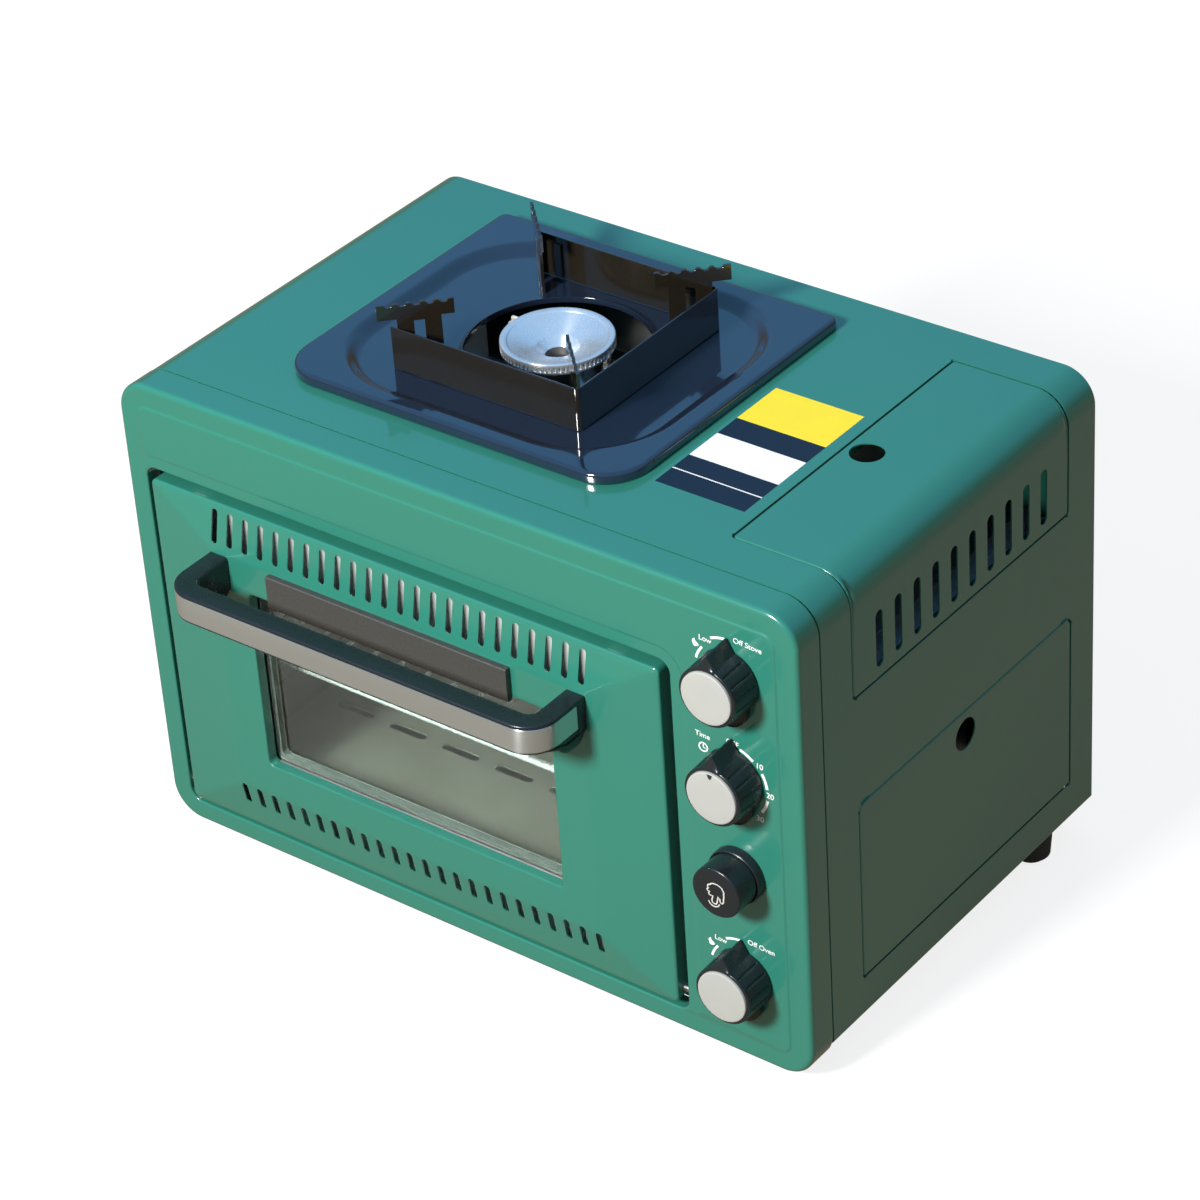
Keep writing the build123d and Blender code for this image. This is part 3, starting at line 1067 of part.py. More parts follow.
# ---------------------------------------------------------------- oven cavity and gas train
def make_liner():
    """Bright oven cavity: five walls and a front flange, with a hole for the burner tube."""
    t = LINER_SHEET
    body = block(CAVITY_X0 - t, CAVITY_X1 + t, CAVITY_FRONT, CAVITY_BACK + t, CAVITY_Z0 - t, CAVITY_Z1 + t)
    reach = DOOR_GAP + FLANGE_OVERLAP
    flange = block(DOOR_X0 - reach, DOOR_X1 + reach, CAVITY_FRONT, CAVITY_FRONT + t,
                   SHELL_Z + SEAT, DOOR_Z1 + reach)
    body = body + flange
    body = body - block(CAVITY_X0, CAVITY_X1, CAVITY_FRONT - 1, CAVITY_BACK, CAVITY_Z0, CAVITY_Z1)
    hole = rod_x(OVEN_TUBE_R + SEAT, CAVITY_X1 - 1, CAVITY_X1 + 2, CAVITY_MID_Y, OVEN_TUBE_Z)
    vents = []
    half = BAFFLE_SLOT_LENGTH / 2
    z1 = CAVITY_Z1 - BAFFLE_SLOT_WIDTH
    for i in range(BAFFLE_SLOTS):
        x = CAVITY_CX + (i - (BAFFLE_SLOTS - 1) / 2) * BAFFLE_SLOT_PITCH
        vents.append(block(x - half, x + half, CAVITY_BACK - 1, CAVITY_BACK + 2,
                           z1 - BAFFLE_SLOT_WIDTH, z1))
    return body - hole - vents


def make_liner_feet():
    """Two hat-section rails between the base plate and the cavity."""
    z1 = CAVITY_Z0 - LINER_SHEET
    y0, y1 = CAVITY_FRONT + CAVITY_REAR, CAVITY_BACK - CAVITY_REAR
    half = RAIL_FOOT + SHEET
    brim = half + RAIL_FOOT
    rails = []
    for x in (CAVITY_X0 + RAIL_FOOT_INSET, CAVITY_X1 - RAIL_FOOT_INSET):
        rail = block(x - half, x + half, y0, y1, SHELL_Z, z1)
        rail = rail + block(x - brim, x + brim, y0, y1, SHELL_Z, SHELL_Z + SHEET)
        rails.append(rail - block(x - RAIL_FOOT, x + RAIL_FOOT, y0 - 1, y1 + 1, SHELL_Z - 1, z1 - SHEET))
    return rails


def make_baffle():
    """Burner cover on two folded legs, with two rows of pressed slots."""
    z0 = CAVITY_Z0
    z1 = z0 + BAFFLE_RISE
    x0 = CAVITY_X0 + BAFFLE_SIDE
    x1 = CAVITY_X1 - BAFFLE_SIDE
    y0 = CAVITY_FRONT + BAFFLE_END
    y1 = CAVITY_BACK - BAFFLE_END
    body = block(x0, x1, y0, y1, z1 - SHEET, z1)
    body = body + block(x0, x1, y0, y0 + SHEET, z0, z1) + block(x0, x1, y1 - SHEET, y1, z0, z1)
    slots = []
    for row in (-1, 1):
        y = CAVITY_MID_Y + row * BAFFLE_ROW
        for i in range(BAFFLE_SLOTS):
            x = CAVITY_CX + (i - (BAFFLE_SLOTS - 1) / 2) * BAFFLE_SLOT_PITCH
            slot = Pos(x, y, z1 - 2 * SHEET) * SlotOverall(BAFFLE_SLOT_LENGTH, BAFFLE_SLOT_WIDTH)
            slots.append(extrude(slot, amount=3 * SHEET))
    return body - slots


def make_rack_rails():
    """Four angle ledges, two on each side wall of the cavity."""
    rails = []
    ends = (CAVITY_FRONT + RAIL_END, CAVITY_BACK - RAIL_END)
    for rise in (RACK_RISE, RACK_RISE - RACK_STEP):
        z = CAVITY_Z0 + rise
        for x, side in ((CAVITY_X0, 1), (CAVITY_X1, -1)):
            ledge = block(*sorted((x, x + side * RAIL_WIDTH)), *ends, z - RAIL_THICK, z)
            upright = block(*sorted((x, x + side * RAIL_THICK)), *ends, z - RAIL_WIDTH, z)
            rails.append(ledge + upright)
    return rails


def make_rack():
    """Chrome wire rack: a closed frame, cross wires under it and long wires on top."""
    z = CAVITY_Z0 + RACK_RISE + FRAME_WIRE_R + PIN_PLAY
    x0 = CAVITY_X0 + RAIL_THICK + FRAME_WIRE_R + RACK_SIDE
    x1 = CAVITY_X1 - RAIL_THICK - FRAME_WIRE_R - RACK_SIDE
    y0 = CAVITY_FRONT + RACK_END
    y1 = CAVITY_BACK - RACK_END
    body = rod_x(FRAME_WIRE_R, x0, x1, y0, z) + rod_x(FRAME_WIRE_R, x0, x1, y1, z)
    body = body + rod_y(FRAME_WIRE_R, x0, y0, y1, z) + rod_y(FRAME_WIRE_R, x1, y0, y1, z)
    body = body + rod_x(FRAME_WIRE_R, x0, x1, (y0 + y1) / 2, z)
    wires = []
    for i in range(RACK_WIRES):
        x = x0 + (x1 - x0) * (i + 1) / (RACK_WIRES + 1)
        wires.append(rod_y(WIRE_R, x, y0 - 2, y1 + 2, z + FRAME_WIRE_R + WIRE_R * 0.5))
    return body + wires


def make_oven_tube():
    """Ported burner tube across the cavity floor, flared at its air end."""
    y, z = CAVITY_MID_Y, OVEN_TUBE_Z
    x0 = CAVITY_X0 + OVEN_TUBE_INSET
    x1 = OVEN_TUBE_X1
    tube = rod_x(OVEN_TUBE_R, x0, x1, y, z)
    tube = tube + rod_x(OVEN_TUBE_R + OVEN_TUBE_FLARE, x1 - OVEN_TUBE_R, x1, y, z)
    tube = tube - rod_x(OVEN_TUBE_R - OVEN_TUBE_WALL, x0 + 2 * OVEN_TUBE_WALL, x1 + 1, y, z)
    ports = []
    for i in range(TUBE_PORTS):
        x = x0 + (i + 1) * TUBE_PORT_PITCH
        ports.append(block(x - 1, x + 1, y - OVEN_TUBE_R / 2, y + OVEN_TUBE_R / 2,
                           z + OVEN_TUBE_R / 2, z + OVEN_TUBE_R + 1))
    return tube - ports


def make_tube_saddles():
    """Two saddles that stand on the cavity floor and carry the burner tube."""
    half = 1.75 * OVEN_TUBE_R
    ys = (CAVITY_MID_Y - half, CAVITY_MID_Y + half)
    saddles = []
    for x in (CAVITY_X0 + SADDLE_INSET, CAVITY_X1 - SADDLE_INSET):
        body = block(x - SHEET, x + SHEET, *ys, CAVITY_Z0, OVEN_TUBE_Z)
        body = body + block(x - SHEET, x + RAIL_WIDTH, *ys, CAVITY_Z0, CAVITY_Z0 + SHEET)
        bed = rod_x(OVEN_TUBE_R + PIN_PLAY, x - RAIL_WIDTH, x + RAIL_WIDTH, CAVITY_MID_Y, OVEN_TUBE_Z)
        saddles.append(body - bed)
    return saddles


def make_regulator():
    """Regulator at the front of the cartridge bay, with its nozzle and outlet lug."""
    x, y, z = CARTRIDGE_X, REGULATOR_Y, CARTRIDGE_Z
    half = REGULATOR_DEPTH / 2
    body = rod_y(REGULATOR_R, x, y - REGULATOR_DEPTH, y, z)
    body = body + rod_y(0.7 * REGULATOR_R, x, y - 1, y + half, z)
    body = body + rod_y(half, x, y + half - 1, y + REGULATOR_DEPTH, z)
    body = body - rod_y(STEM_BORE_R, x, y + 2, y + REGULATOR_DEPTH + 1, z)
    return body + rod_z(2 * PIPE_R, x, y - half, outlet_z(), z - REGULATOR_R + 2 * PIPE_R)


def outlet_z():
    """Lower end of the regulator's outlet lug."""
    return CARTRIDGE_Z - REGULATOR_R - REGULATOR_DEPTH / 2 - 1


def make_regulator_mount():
    """Angle bracket from the heat shield to the regulator."""
    y = REGULATOR_Y - REGULATOR_DEPTH
    z0, z1 = CARTRIDGE_Z - 0.8 * REGULATOR_R, CARTRIDGE_Z + 0.8 * REGULATOR_R
    x0 = DIVIDER + SHEET
    body = block(x0, CARTRIDGE_X + 0.8 * REGULATOR_R, y - BRACKET_THICK, y, z0, z1)
    return body + block(x0, x0 + BRACKET_THICK, y - REGULATOR_DEPTH, y, z0, z1)


def make_cradle():
    """Trough that holds the gas cartridge, with folded legs on the bay floor."""
    x, z = CARTRIDGE_X, CARTRIDGE_Z
    r = CARTRIDGE_R + CRADLE_CLEAR
    half = CRADLE_HALF
    ends = (LID_FRONT + CRADLE_FRONT, LID_BACK - CRADLE_REAR)
    floor = BAY_Z + SHEET
    trough = rod_y(r + SHEET, x, *ends, z) - rod_y(r, x, ends[0] - 1, ends[1] + 1, z)
    trough = trough & block(x - half, x + half, *ends, floor, z)
    wing = sqrt((r + SHEET / 2) ** 2 - half ** 2)
    leg = half - LINER_SHEET
    for side in (-1, 1):
        upright = block(*sorted((x + side * leg, x + side * (leg + SHEET))), *ends, floor, z - wing + 1)
        toe = block(*sorted((x + side * leg, x + side * (leg + HEM))), *ends, floor, floor + SHEET)
        trough = trough + upright + toe
    return trough


def make_manifold():
    """Standing gas pipe between the valves, and its feed from the regulator."""
    front = PLATE_BACK + VALVE_INLET_Y
    x = CONTROL_X + VALVE_INLET
    stand = pipe([(x, front, STOVE_Z), (MANIFOLD_X, front, STOVE_Z), (MANIFOLD_X, front, OVEN_Z),
                  (x, front, OVEN_Z)], PIPE_R, PIPE_BEND)
    y = REGULATOR_Y - REGULATOR_DEPTH / 2
    z = outlet_z()
    low = z - PIPE_BEND - 2
    feed = pipe([(CARTRIDGE_X, y, z), (CARTRIDGE_X, y, low), (MANIFOLD_X, y, low),
                 (MANIFOLD_X, front, low)], PIPE_R, PIPE_BEND)
    return stand + feed


def pipe(points, radius, bend):
    """Round pipe along straight runs joined by tangent arcs."""
    path = FilletPolyline(*points, radius=bend)
    section = Plane(origin=points[0], z_dir=path % 0) * Circle(radius)
    return sweep(section, path=path)


def make_jet_pipes():
    """From the stove valve to the mixing tube, and from the oven valve to its burner."""
    side_y = PLATE_BACK + VALVE_OUTLET_Y
    x = CONTROL_X - VALVE_OUTLET
    drop_x = x - VALVE_R
    mouth = tube_mouth()
    away = (mouth - Vector(HOB_CX, HOB_Y, TUBE_Z)).normalized()
    jet = mouth + away * JET_GAP
    bend = mouth + away * (JET_GAP + 3 * JET_PIPE_BEND)
    stove = pipe([(x, side_y, STOVE_Z), (drop_x, side_y, STOVE_Z), (drop_x, side_y, TUBE_Z),
                  (bend.X, bend.Y, TUBE_Z), (jet.X, jet.Y, TUBE_Z)], JET_PIPE_R, JET_PIPE_BEND)
    y = PLATE_BACK + VALVE_LENGTH
    knee = y + 2 * PIPE_BEND
    oven = pipe([(CONTROL_X, y, OVEN_Z), (CONTROL_X, knee, OVEN_Z),
                 (CONTROL_X, knee + VALVE_OUTLET, OVEN_TUBE_Z), (CONTROL_X, CAVITY_MID_Y, OVEN_TUBE_Z),
                 (OVEN_TUBE_X1 + JET_GAP, CAVITY_MID_Y, OVEN_TUBE_Z)], JET_PIPE_R, PIPE_BEND)
    return [stove, oven]


def make_door_seal():
    """Gasket on the cavity flange, along both sides and the top of the cavity."""
    x0 = CAVITY_X0 - SEAL_WIDTH
    x1 = CAVITY_X1 + SEAL_WIDTH
    y0 = DOOR_SKIN_BACK + LINER_SHEET + SEAT
    z0 = CAVITY_Z0 + SEAL_RISE
    body = block(x0, x1, y0, CAVITY_FRONT, z0, CAVITY_Z1 + SEAL_WIDTH)
    return body - block(CAVITY_X0, CAVITY_X1, y0 - 1, CAVITY_FRONT + 1, z0 - 1, CAVITY_Z1)


# ---------------------------------------------------------------- write every node
os.makedirs("parts", exist_ok=True)
save("bezel", make_bezel())
save("outer_shell", make_shell())
save("base_plate", make_base_plate())
save("back_panel", make_back_panel())
save("heat_shield", make_divider())
save("bay_floor", make_bay_floor())
save("rubber_feet", *make_feet())
save("foot_screws", *make_foot_screws())
save("back_screws", *make_body_screws())

save("door_skin", make_door_skin())
save("door_liner", make_door_liner())
save("door_glass", make_door_glass())
save("glass_frame", make_glass_frame())
save("window_bead", make_window_bead())
save("heat_deflector", make_heat_deflector())
save("handle_grip", make_handle_grip())
save("handle_band", make_handle_band())
save("handle_screws", *make_handle_screws())
save("door_pins", *make_door_pins())
save("door_catches", *make_door_catches())

save("control_bracket", make_control_bracket())
for label, height in (("stove", STOVE_Z), ("timer", TIMER_Z), ("oven", OVEN_Z)):
    save(label + "_knob", make_knob(height))
    save(label + "_knob_cap", make_knob_cap(height))
    save(label + "_stem", make_stem(height))
save("stove_valve", make_valve(STOVE_Z))
save("oven_valve", make_valve(OVEN_Z))
save("timer_body", make_timer())
save("igniter", make_igniter())
save("ignition_button", make_button())
save("button_collar", make_button_collar())

save("cartridge_lid", make_lid())
save("side_hatch", make_hatch())
lid_pins = make_side_hinges(LID_FRONT, LID_BACK, LID_Z0)
hatch_pins = make_side_hinges(HATCH_FRONT, HATCH_BACK, HATCH_Z0)
save("side_hinges", *lid_pins, *hatch_pins)
save("cartridge_cradle", make_cradle())
save("regulator", make_regulator())
save("regulator_mount", make_regulator_mount())
save("gas_manifold", make_manifold())
save("jet_pipes", *make_jet_pipes())

save("drip_pan", make_drip_pan())
save("wind_screen", make_wind_screen())
corners = ((-1, -1), (1, -1), (-1, 1), (1, 1))
save("pot_supports", *[make_pot_support(x_side, y_side) for x_side, y_side in corners])
save("burner_head", make_burner_head())
save("burner_cup", make_burner_cup())
save("mixing_tube", make_mixing_tube())
save("burner_bracket", make_burner_bracket())
save("spark_electrode", make_electrode())

save("oven_liner", make_liner())
save("liner_feet", *make_liner_feet())
save("burner_cover", make_baffle())
save("rack_rails", *make_rack_rails())
save("oven_rack", make_rack())
save("oven_burner", make_oven_tube())
save("tube_saddles", *make_tube_saddles())
save("door_seal", make_door_seal())
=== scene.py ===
"""Portable gas camping oven with a burner on top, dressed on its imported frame. Lengths in the sections are in
millimetres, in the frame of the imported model: +X right, -Y out of the front, +Z up from the table."""
import math

import bmesh
import bpy
import numpy as np
from mathutils import Euler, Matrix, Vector


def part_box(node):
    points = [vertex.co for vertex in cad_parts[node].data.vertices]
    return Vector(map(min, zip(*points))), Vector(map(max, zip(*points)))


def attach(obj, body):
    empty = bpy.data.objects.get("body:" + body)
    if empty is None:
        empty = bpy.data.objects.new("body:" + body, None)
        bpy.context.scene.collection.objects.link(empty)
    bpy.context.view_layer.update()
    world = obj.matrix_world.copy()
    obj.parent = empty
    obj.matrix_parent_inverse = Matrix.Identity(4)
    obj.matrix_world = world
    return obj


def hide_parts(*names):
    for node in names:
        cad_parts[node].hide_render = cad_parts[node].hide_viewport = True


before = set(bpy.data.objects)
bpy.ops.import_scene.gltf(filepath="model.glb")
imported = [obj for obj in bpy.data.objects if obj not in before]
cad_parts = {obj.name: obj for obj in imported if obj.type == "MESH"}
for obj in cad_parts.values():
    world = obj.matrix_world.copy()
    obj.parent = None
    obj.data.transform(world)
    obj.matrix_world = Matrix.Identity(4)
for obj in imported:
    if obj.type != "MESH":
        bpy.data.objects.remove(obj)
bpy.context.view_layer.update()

# ---------------------------------------------------------------- camera, floor and light
# One long lens looks down at the front left of the oven. The floor is a plain pale sheet that keeps a soft
# shadow, and the light is a large soft box from the front left, a top panel and an even, slightly cool room.
# In gloss the floor shows as warm brown and the room as blue, like earth and sky around a camp table.
scene = bpy.context.scene
scene.view_settings.view_transform = "Standard"

camera_data = bpy.data.cameras.new("camera")
camera_data.lens = 124.124
camera_data.sensor_width = 36.0
camera = bpy.data.objects.new("camera", camera_data)
camera.location = (1.31244, -1.59258, 1.55247)
camera.rotation_euler = Euler([math.radians(turn) for turn in (56.3068, 3.3381, 37.0521)])
scene.collection.objects.link(camera)
scene.camera = camera


def combine(nodes, links, operation, one, two):
    """A sum on two sockets that hold 0 or 1; a difference does not go below 0."""
    maths = nodes.new("ShaderNodeMath")
    maths.operation = operation
    maths.use_clamp = operation == "SUBTRACT"
    links.new(one, maths.inputs[0])
    links.new(two, maths.inputs[1])
    return maths.outputs[0]


def blend(nodes, links, factor, one, two):
    """A colour between two, each of them a colour or a socket, by a factor socket."""
    mix = nodes.new("ShaderNodeMix")
    mix.data_type = "RGBA"
    links.new(factor, mix.inputs["Factor"])
    for socket, value in ((mix.inputs["A"], one), (mix.inputs["B"], two)):
        if isinstance(value, tuple):
            socket.default_value = (*value, 1)
        else:
            links.new(value, socket)
    return mix.outputs["Result"]


def either(nodes, links, factor, one, two):
    """The first shader where the factor is 0, the second where it is 1."""
    mix = nodes.new("ShaderNodeMixShader")
    for socket, source in zip(mix.inputs, (factor, one, two)):
        links.new(source, socket)
    return mix.outputs[0]


def seen_directly(nodes, links):
    """1 for camera, mirror and glass rays, 0 for soft light rays."""
    rays = nodes.new("ShaderNodeLightPath").outputs
    not_glass = combine(nodes, links, "MAXIMUM", rays["Is Camera Ray"], rays["Is Glossy Ray"])
    return combine(nodes, links, "MAXIMUM", not_glass, rays["Is Transmission Ray"])


def tone(nodes, links, plain, in_gloss):
    """One colour for mirror rays and another for all the rest, glass rays among them."""
    rays = nodes.new("ShaderNodeLightPath").outputs
    mirror = combine(nodes, links, "SUBTRACT", rays["Is Glossy Ray"], rays["Is Transmission Ray"])
    return blend(nodes, links, mirror, plain, in_gloss)


FLOOR_REACH = 9.0
floor_mesh = bpy.data.meshes.new("floor")
floor_corners = [(x * FLOOR_REACH, y * FLOOR_REACH, 0) for x, y in ((-1, -1), (1, -1), (1, 1), (-1, 1))]
floor_mesh.from_pydata(floor_corners, [], [(0, 1, 2, 3)])
floor = bpy.data.objects.new("floor", floor_mesh)
scene.collection.objects.link(floor)
floor_paint = bpy.data.materials.new("floor")
floor_paint.use_nodes = True
nodes, links = floor_paint.node_tree.nodes, floor_paint.node_tree.links
nodes.clear()
soft = nodes.new("ShaderNodeBsdfDiffuse")
soft.inputs["Color"].default_value = (0.22, 0.18, 0.14, 1)
shadow = nodes.new("ShaderNodeBsdfDiffuse")
links.new(tone(nodes, links, (0.22, 0.22, 0.22), (0.04, 0.032, 0.022)), shadow.inputs["Color"])
glow = nodes.new("ShaderNodeEmission")
links.new(tone(nodes, links, (1, 1, 1), (0.27, 0.205, 0.14)), glow.inputs["Color"])
glow.inputs["Strength"].default_value = 0.82
bright = nodes.new("ShaderNodeAddShader")
links.new(shadow.outputs[0], bright.inputs[0])
links.new(glow.outputs[0], bright.inputs[1])
floor_look = either(nodes, links, seen_directly(nodes, links), soft.outputs[0], bright.outputs[0])
links.new(floor_look, nodes.new("ShaderNodeOutputMaterial").inputs["Surface"])
floor_mesh.materials.append(floor_paint)

room = bpy.data.worlds.new("room")
scene.world = room
room.use_nodes = True
nodes, links = room.node_tree.nodes, room.node_tree.links
nodes.clear()
height = nodes.new("ShaderNodeSeparateXYZ")
links.new(nodes.new("ShaderNodeTexCoord").outputs["Generated"], height.inputs[0])
climb = nodes.new("ShaderNodeMapRange")
climb.interpolation_type = "SMOOTHSTEP"
climb.inputs["From Min"].default_value = 0.10
climb.inputs["From Max"].default_value = 0.50
links.new(height.outputs["Z"], climb.inputs["Value"])
earth_to_sky = blend(nodes, links, climb.outputs["Result"], (0.13, 0.12, 0.09), (0.15, 0.43, 0.80))
around = nodes.new("ShaderNodeBackground")
links.new(tone(nodes, links, (0.34, 0.38, 0.44), earth_to_sky), around.inputs["Color"])
around.inputs["Strength"].default_value = 1.0
behind = nodes.new("ShaderNodeBackground")
behind.inputs["Color"].default_value = (1, 1, 1, 1)
behind.inputs["Strength"].default_value = 1.0
camera_ray = nodes.new("ShaderNodeLightPath").outputs["Is Camera Ray"]
room_look = either(nodes, links, camera_ray, around.outputs[0], behind.outputs[0])
links.new(room_look, nodes.new("ShaderNodeOutputWorld").inputs["Surface"])


def soft_box(name, place, target, width, height, power, colour):
    """A rectangular lamp that faces its target."""
    data = bpy.data.lights.new(name, "AREA")
    data.shape = "RECTANGLE"
    data.size = width
    data.size_y = height
    data.energy = power
    data.color = colour
    lamp = bpy.data.objects.new(name, data)
    lamp.location = place
    lamp.rotation_euler = (Vector(target) - Vector(place)).to_track_quat("-Z", "Y").to_euler()
    scene.collection.objects.link(lamp)
    return lamp


soft_box("key_light", (-0.25, -2.45, 1.80), (0, 0, 0.15), 0.5, 0.5, 164, (1.0, 0.98, 0.94))
top_light = soft_box("top_light", (-0.5, 1.5, 2.2), (0, 0, 0.3), 1.6, 1.2, 7, (0.90, 0.96, 1.0))
top_light.visible_glossy = False

# ---------------------------------------------------------------- painted front bezel
# A deep-drawn steel front: a lip folded in around the door opening, a shallow pressed frame, a raised field,
# a flat border and a rolled rim that the shell slips into. Gloss powder paint, bluish green.
MM = 0.001


def extent(node):
    """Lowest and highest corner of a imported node, in millimetres."""
    low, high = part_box(node)
    return np.array(low) / MM, np.array(high) / MM


def side_run(steps, radius_a, radius_b, length):
    """Places along one side of a rounded rectangle, as (distance along the side, distance in from it). It
    starts at the middle of one corner's arc and ends at the middle of the next: an eighth of a circle, the
    straight between the two arcs and another eighth of a circle, with a quarter of the steps on each arc."""
    share = np.arange(steps) / steps
    turn_a = np.clip(share / 0.25, 0, 1) * np.pi / 4
    turn_b = np.clip((share - 0.75) / 0.25, 0, 1) * np.pi / 4
    flat = np.clip((share - 0.25) / 0.5, 0, 1)
    start = radius_a * (1 - np.sin(np.pi / 4 - turn_a))
    middle = radius_a + (length - radius_a - radius_b) * flat
    end = length - radius_b * (1 - np.sin(turn_b))
    along = np.where(share < 0.25, start, np.where(share < 0.75, middle, end))
    rise_a = radius_a * (1 - np.cos(np.pi / 4 - turn_a))
    rise_b = radius_b * (1 - np.cos(turn_b))
    return along, np.where(share < 0.25, rise_a, np.where(share < 0.75, 0, rise_b))


def outline(width, height, radii, centre, across=24, up=24):
    """A rounded rectangle as a closed ring of 2D points, anticlockwise from the middle of its lower left
    corner: the four sides of side_run, each turned a quarter further. radii are lower left, lower right,
    upper right and upper left."""
    a, b, c, d = radii
    bottom, lift_bottom = side_run(across, a, b, width)
    right, lift_right = side_run(up, b, c, height)
    top, lift_top = side_run(across, c, d, width)
    left, lift_left = side_run(up, d, a, height)
    x = np.concatenate([bottom, width - lift_right, width - top, lift_left])
    z = np.concatenate([lift_bottom, right, height - lift_top, height - left])
    return np.stack([x - width / 2 + centre[0], z - height / 2 + centre[1]], axis=1)


def upright(flat, y):
    """Points (x, z) stood up at a depth, or each at its own."""
    return np.stack([flat[:, 0], np.zeros(len(flat)) + y, flat[:, 1]], axis=1)


def rounding(radius, steps, start=0.0):
    """(inset, drop) of places down a rounded edge: a quarter circle, taken from its start angle on."""
    turns = np.linspace(start, np.pi / 2, steps)
    return list(zip(radius * (1 - np.sin(turns)), radius * (1 - np.cos(turns))))


def quads(rows, columns, wrap=False):
    """Corner numbers of the quads between neighbours of a rows by columns grid of points."""
    i, j = np.meshgrid(np.arange(rows - 1), np.arange(columns if wrap else columns - 1), indexing="ij")
    k = (j + 1) % columns
    corners = [i * columns + j, i * columns + k, (i + 1) * columns + k, (i + 1) * columns + j]
    return np.stack(corners, axis=-1).reshape(-1, 4)


def tube(rings, inside_out=False):
    """Closed rings of points, each joined to the next, as (points, quads)."""
    rings = np.stack(rings)
    faces = quads(*rings.shape[:2], wrap=True)
    return rings.reshape(-1, rings.shape[-1]), faces[:, ::-1] if inside_out else faces


def piece(name, points, faces, material, body, replaced=(), flip=False, thick=0, bevel=0, crease=35):
    """A mesh object from points in millimetres: doubles merged, smooth but for edges sharper than the
    crease angle, with an optional wall thickness inwards and rounded edges. It rides on its body."""
    mesh = bpy.data.meshes.new(name)
    faces = np.asarray(faces)
    corner_lists = (faces[:, ::-1] if flip else faces).tolist()
    mesh.from_pydata((np.asarray(points) * MM).tolist(), [], corner_lists)
    return finish_piece(name, mesh, material, body, replaced, thick, bevel, crease)


def ringed(name, rings, material, body, replaced=(), **finish):
    """A piece of closed rings of points, each joined to the next."""
    return piece(name, *tube(rings), material, body, replaced, **finish)


def finish_piece(name, mesh, material, body, replaced=(), thick=0, bevel=0, crease=35):
    """Merge, shade and place a mesh, and say which body it rides on and which nodes it stands for. A closed
    shape with a negative volume is turned so that its faces point outwards."""
    shape = bmesh.new()
    shape.from_mesh(mesh)
    bmesh.ops.remove_doubles(shape, verts=shape.verts, dist=0.002 * MM)
    bmesh.ops.dissolve_degenerate(shape, edges=shape.edges, dist=0.001 * MM)
    bmesh.ops.delete(shape, geom=[corner for corner in shape.verts if not corner.link_faces], context="VERTS")
    closed = all(len(edge.link_faces) > 1 for edge in shape.edges)
    if closed and shape.calc_volume(signed=True) < 0:
        bmesh.ops.reverse_faces(shape, faces=shape.faces)
    shape.to_mesh(mesh)
    shape.free()
    mesh.shade_smooth()
    mesh.set_sharp_from_angle(angle=math.radians(crease))
    made = bpy.data.objects.new(name, mesh)
    scene.collection.objects.link(made)
    if thick:
        wall = made.modifiers.new("wall", "SOLIDIFY")
        wall.thickness = thick * MM
        wall.offset = -1
        wall.use_even_offset = True
    if bevel:
        edge = made.modifiers.new("edge", "BEVEL")
        edge.width = bevel * MM
        edge.segments = 2
        edge.limit_method = "ANGLE"
        edge.angle_limit = math.radians(50)
    if thick or bevel:
        even_normals = made.modifiers.new("normals", "WEIGHTED_NORMAL")
        even_normals.keep_sharp = True
        even_normals.weight = 80
    mesh.materials.append(material)
    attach(made, body)
    if replaced:
        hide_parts(*replaced)
    return made


def noise(nodes, links, place, scale, detail):
    """A noise pattern on a place socket."""
    pattern = nodes.new("ShaderNodeTexNoise")
    pattern.inputs["Scale"].default_value = scale
    pattern.inputs["Detail"].default_value = detail
    links.new(place, pattern.inputs["Vector"])
    return pattern.outputs["Fac"]


def coating(name, colour, shade, grain, rough, bump=0.0, bump_scale=900.0, metallic=0.0, stretch=(1, 1, 1),
            detail=3.0, coat=0.0, level=0.5):
    """A surface finish on Object coordinates: broad noise moves the colour towards its shade, finer noise
    moves the roughness between two values, and a fine noise is the grain that light catches."""
    made = bpy.data.materials.new(name)
    made.use_nodes = True
    nodes, links = made.node_tree.nodes, made.node_tree.links
    body = nodes["Principled BSDF"]
    body.inputs["Metallic"].default_value = metallic
    body.inputs["Coat Weight"].default_value = coat
    body.inputs["Coat Roughness"].default_value = 0.04
    body.inputs["Specular IOR Level"].default_value = level
    where = nodes.new("ShaderNodeTexCoord")
    turn = nodes.new("ShaderNodeMapping")
    turn.inputs["Scale"].default_value = stretch
    links.new(where.outputs["Object"], turn.inputs["Vector"])
    place = turn.outputs["Vector"]
    tint = blend(nodes, links, noise(nodes, links, place, grain, detail), colour, shade)
    links.new(tint, body.inputs["Base Color"])
    spread = nodes.new("ShaderNodeMapRange")
    spread.inputs["To Min"].default_value = rough[0]
    spread.inputs["To Max"].default_value = rough[1]
    links.new(noise(nodes, links, place, grain * 5, 4.0), spread.inputs["Value"])
    links.new(spread.outputs["Result"], body.inputs["Roughness"])
    if bump:
        relief = nodes.new("ShaderNodeBump")
        relief.inputs["Strength"].default_value = 1.0
        relief.inputs["Distance"].default_value = bump * MM
        links.new(noise(nodes, links, place, bump_scale, 2.0), relief.inputs["Height"])
        links.new(relief.outputs["Normal"], body.inputs["Normal"])
    return made


green = coating("green_paint", (0.020, 0.158, 0.117), (0.023, 0.172, 0.128), 3.0, (0.20, 0.27), 0.02, 700.0,
                coat=0.8)

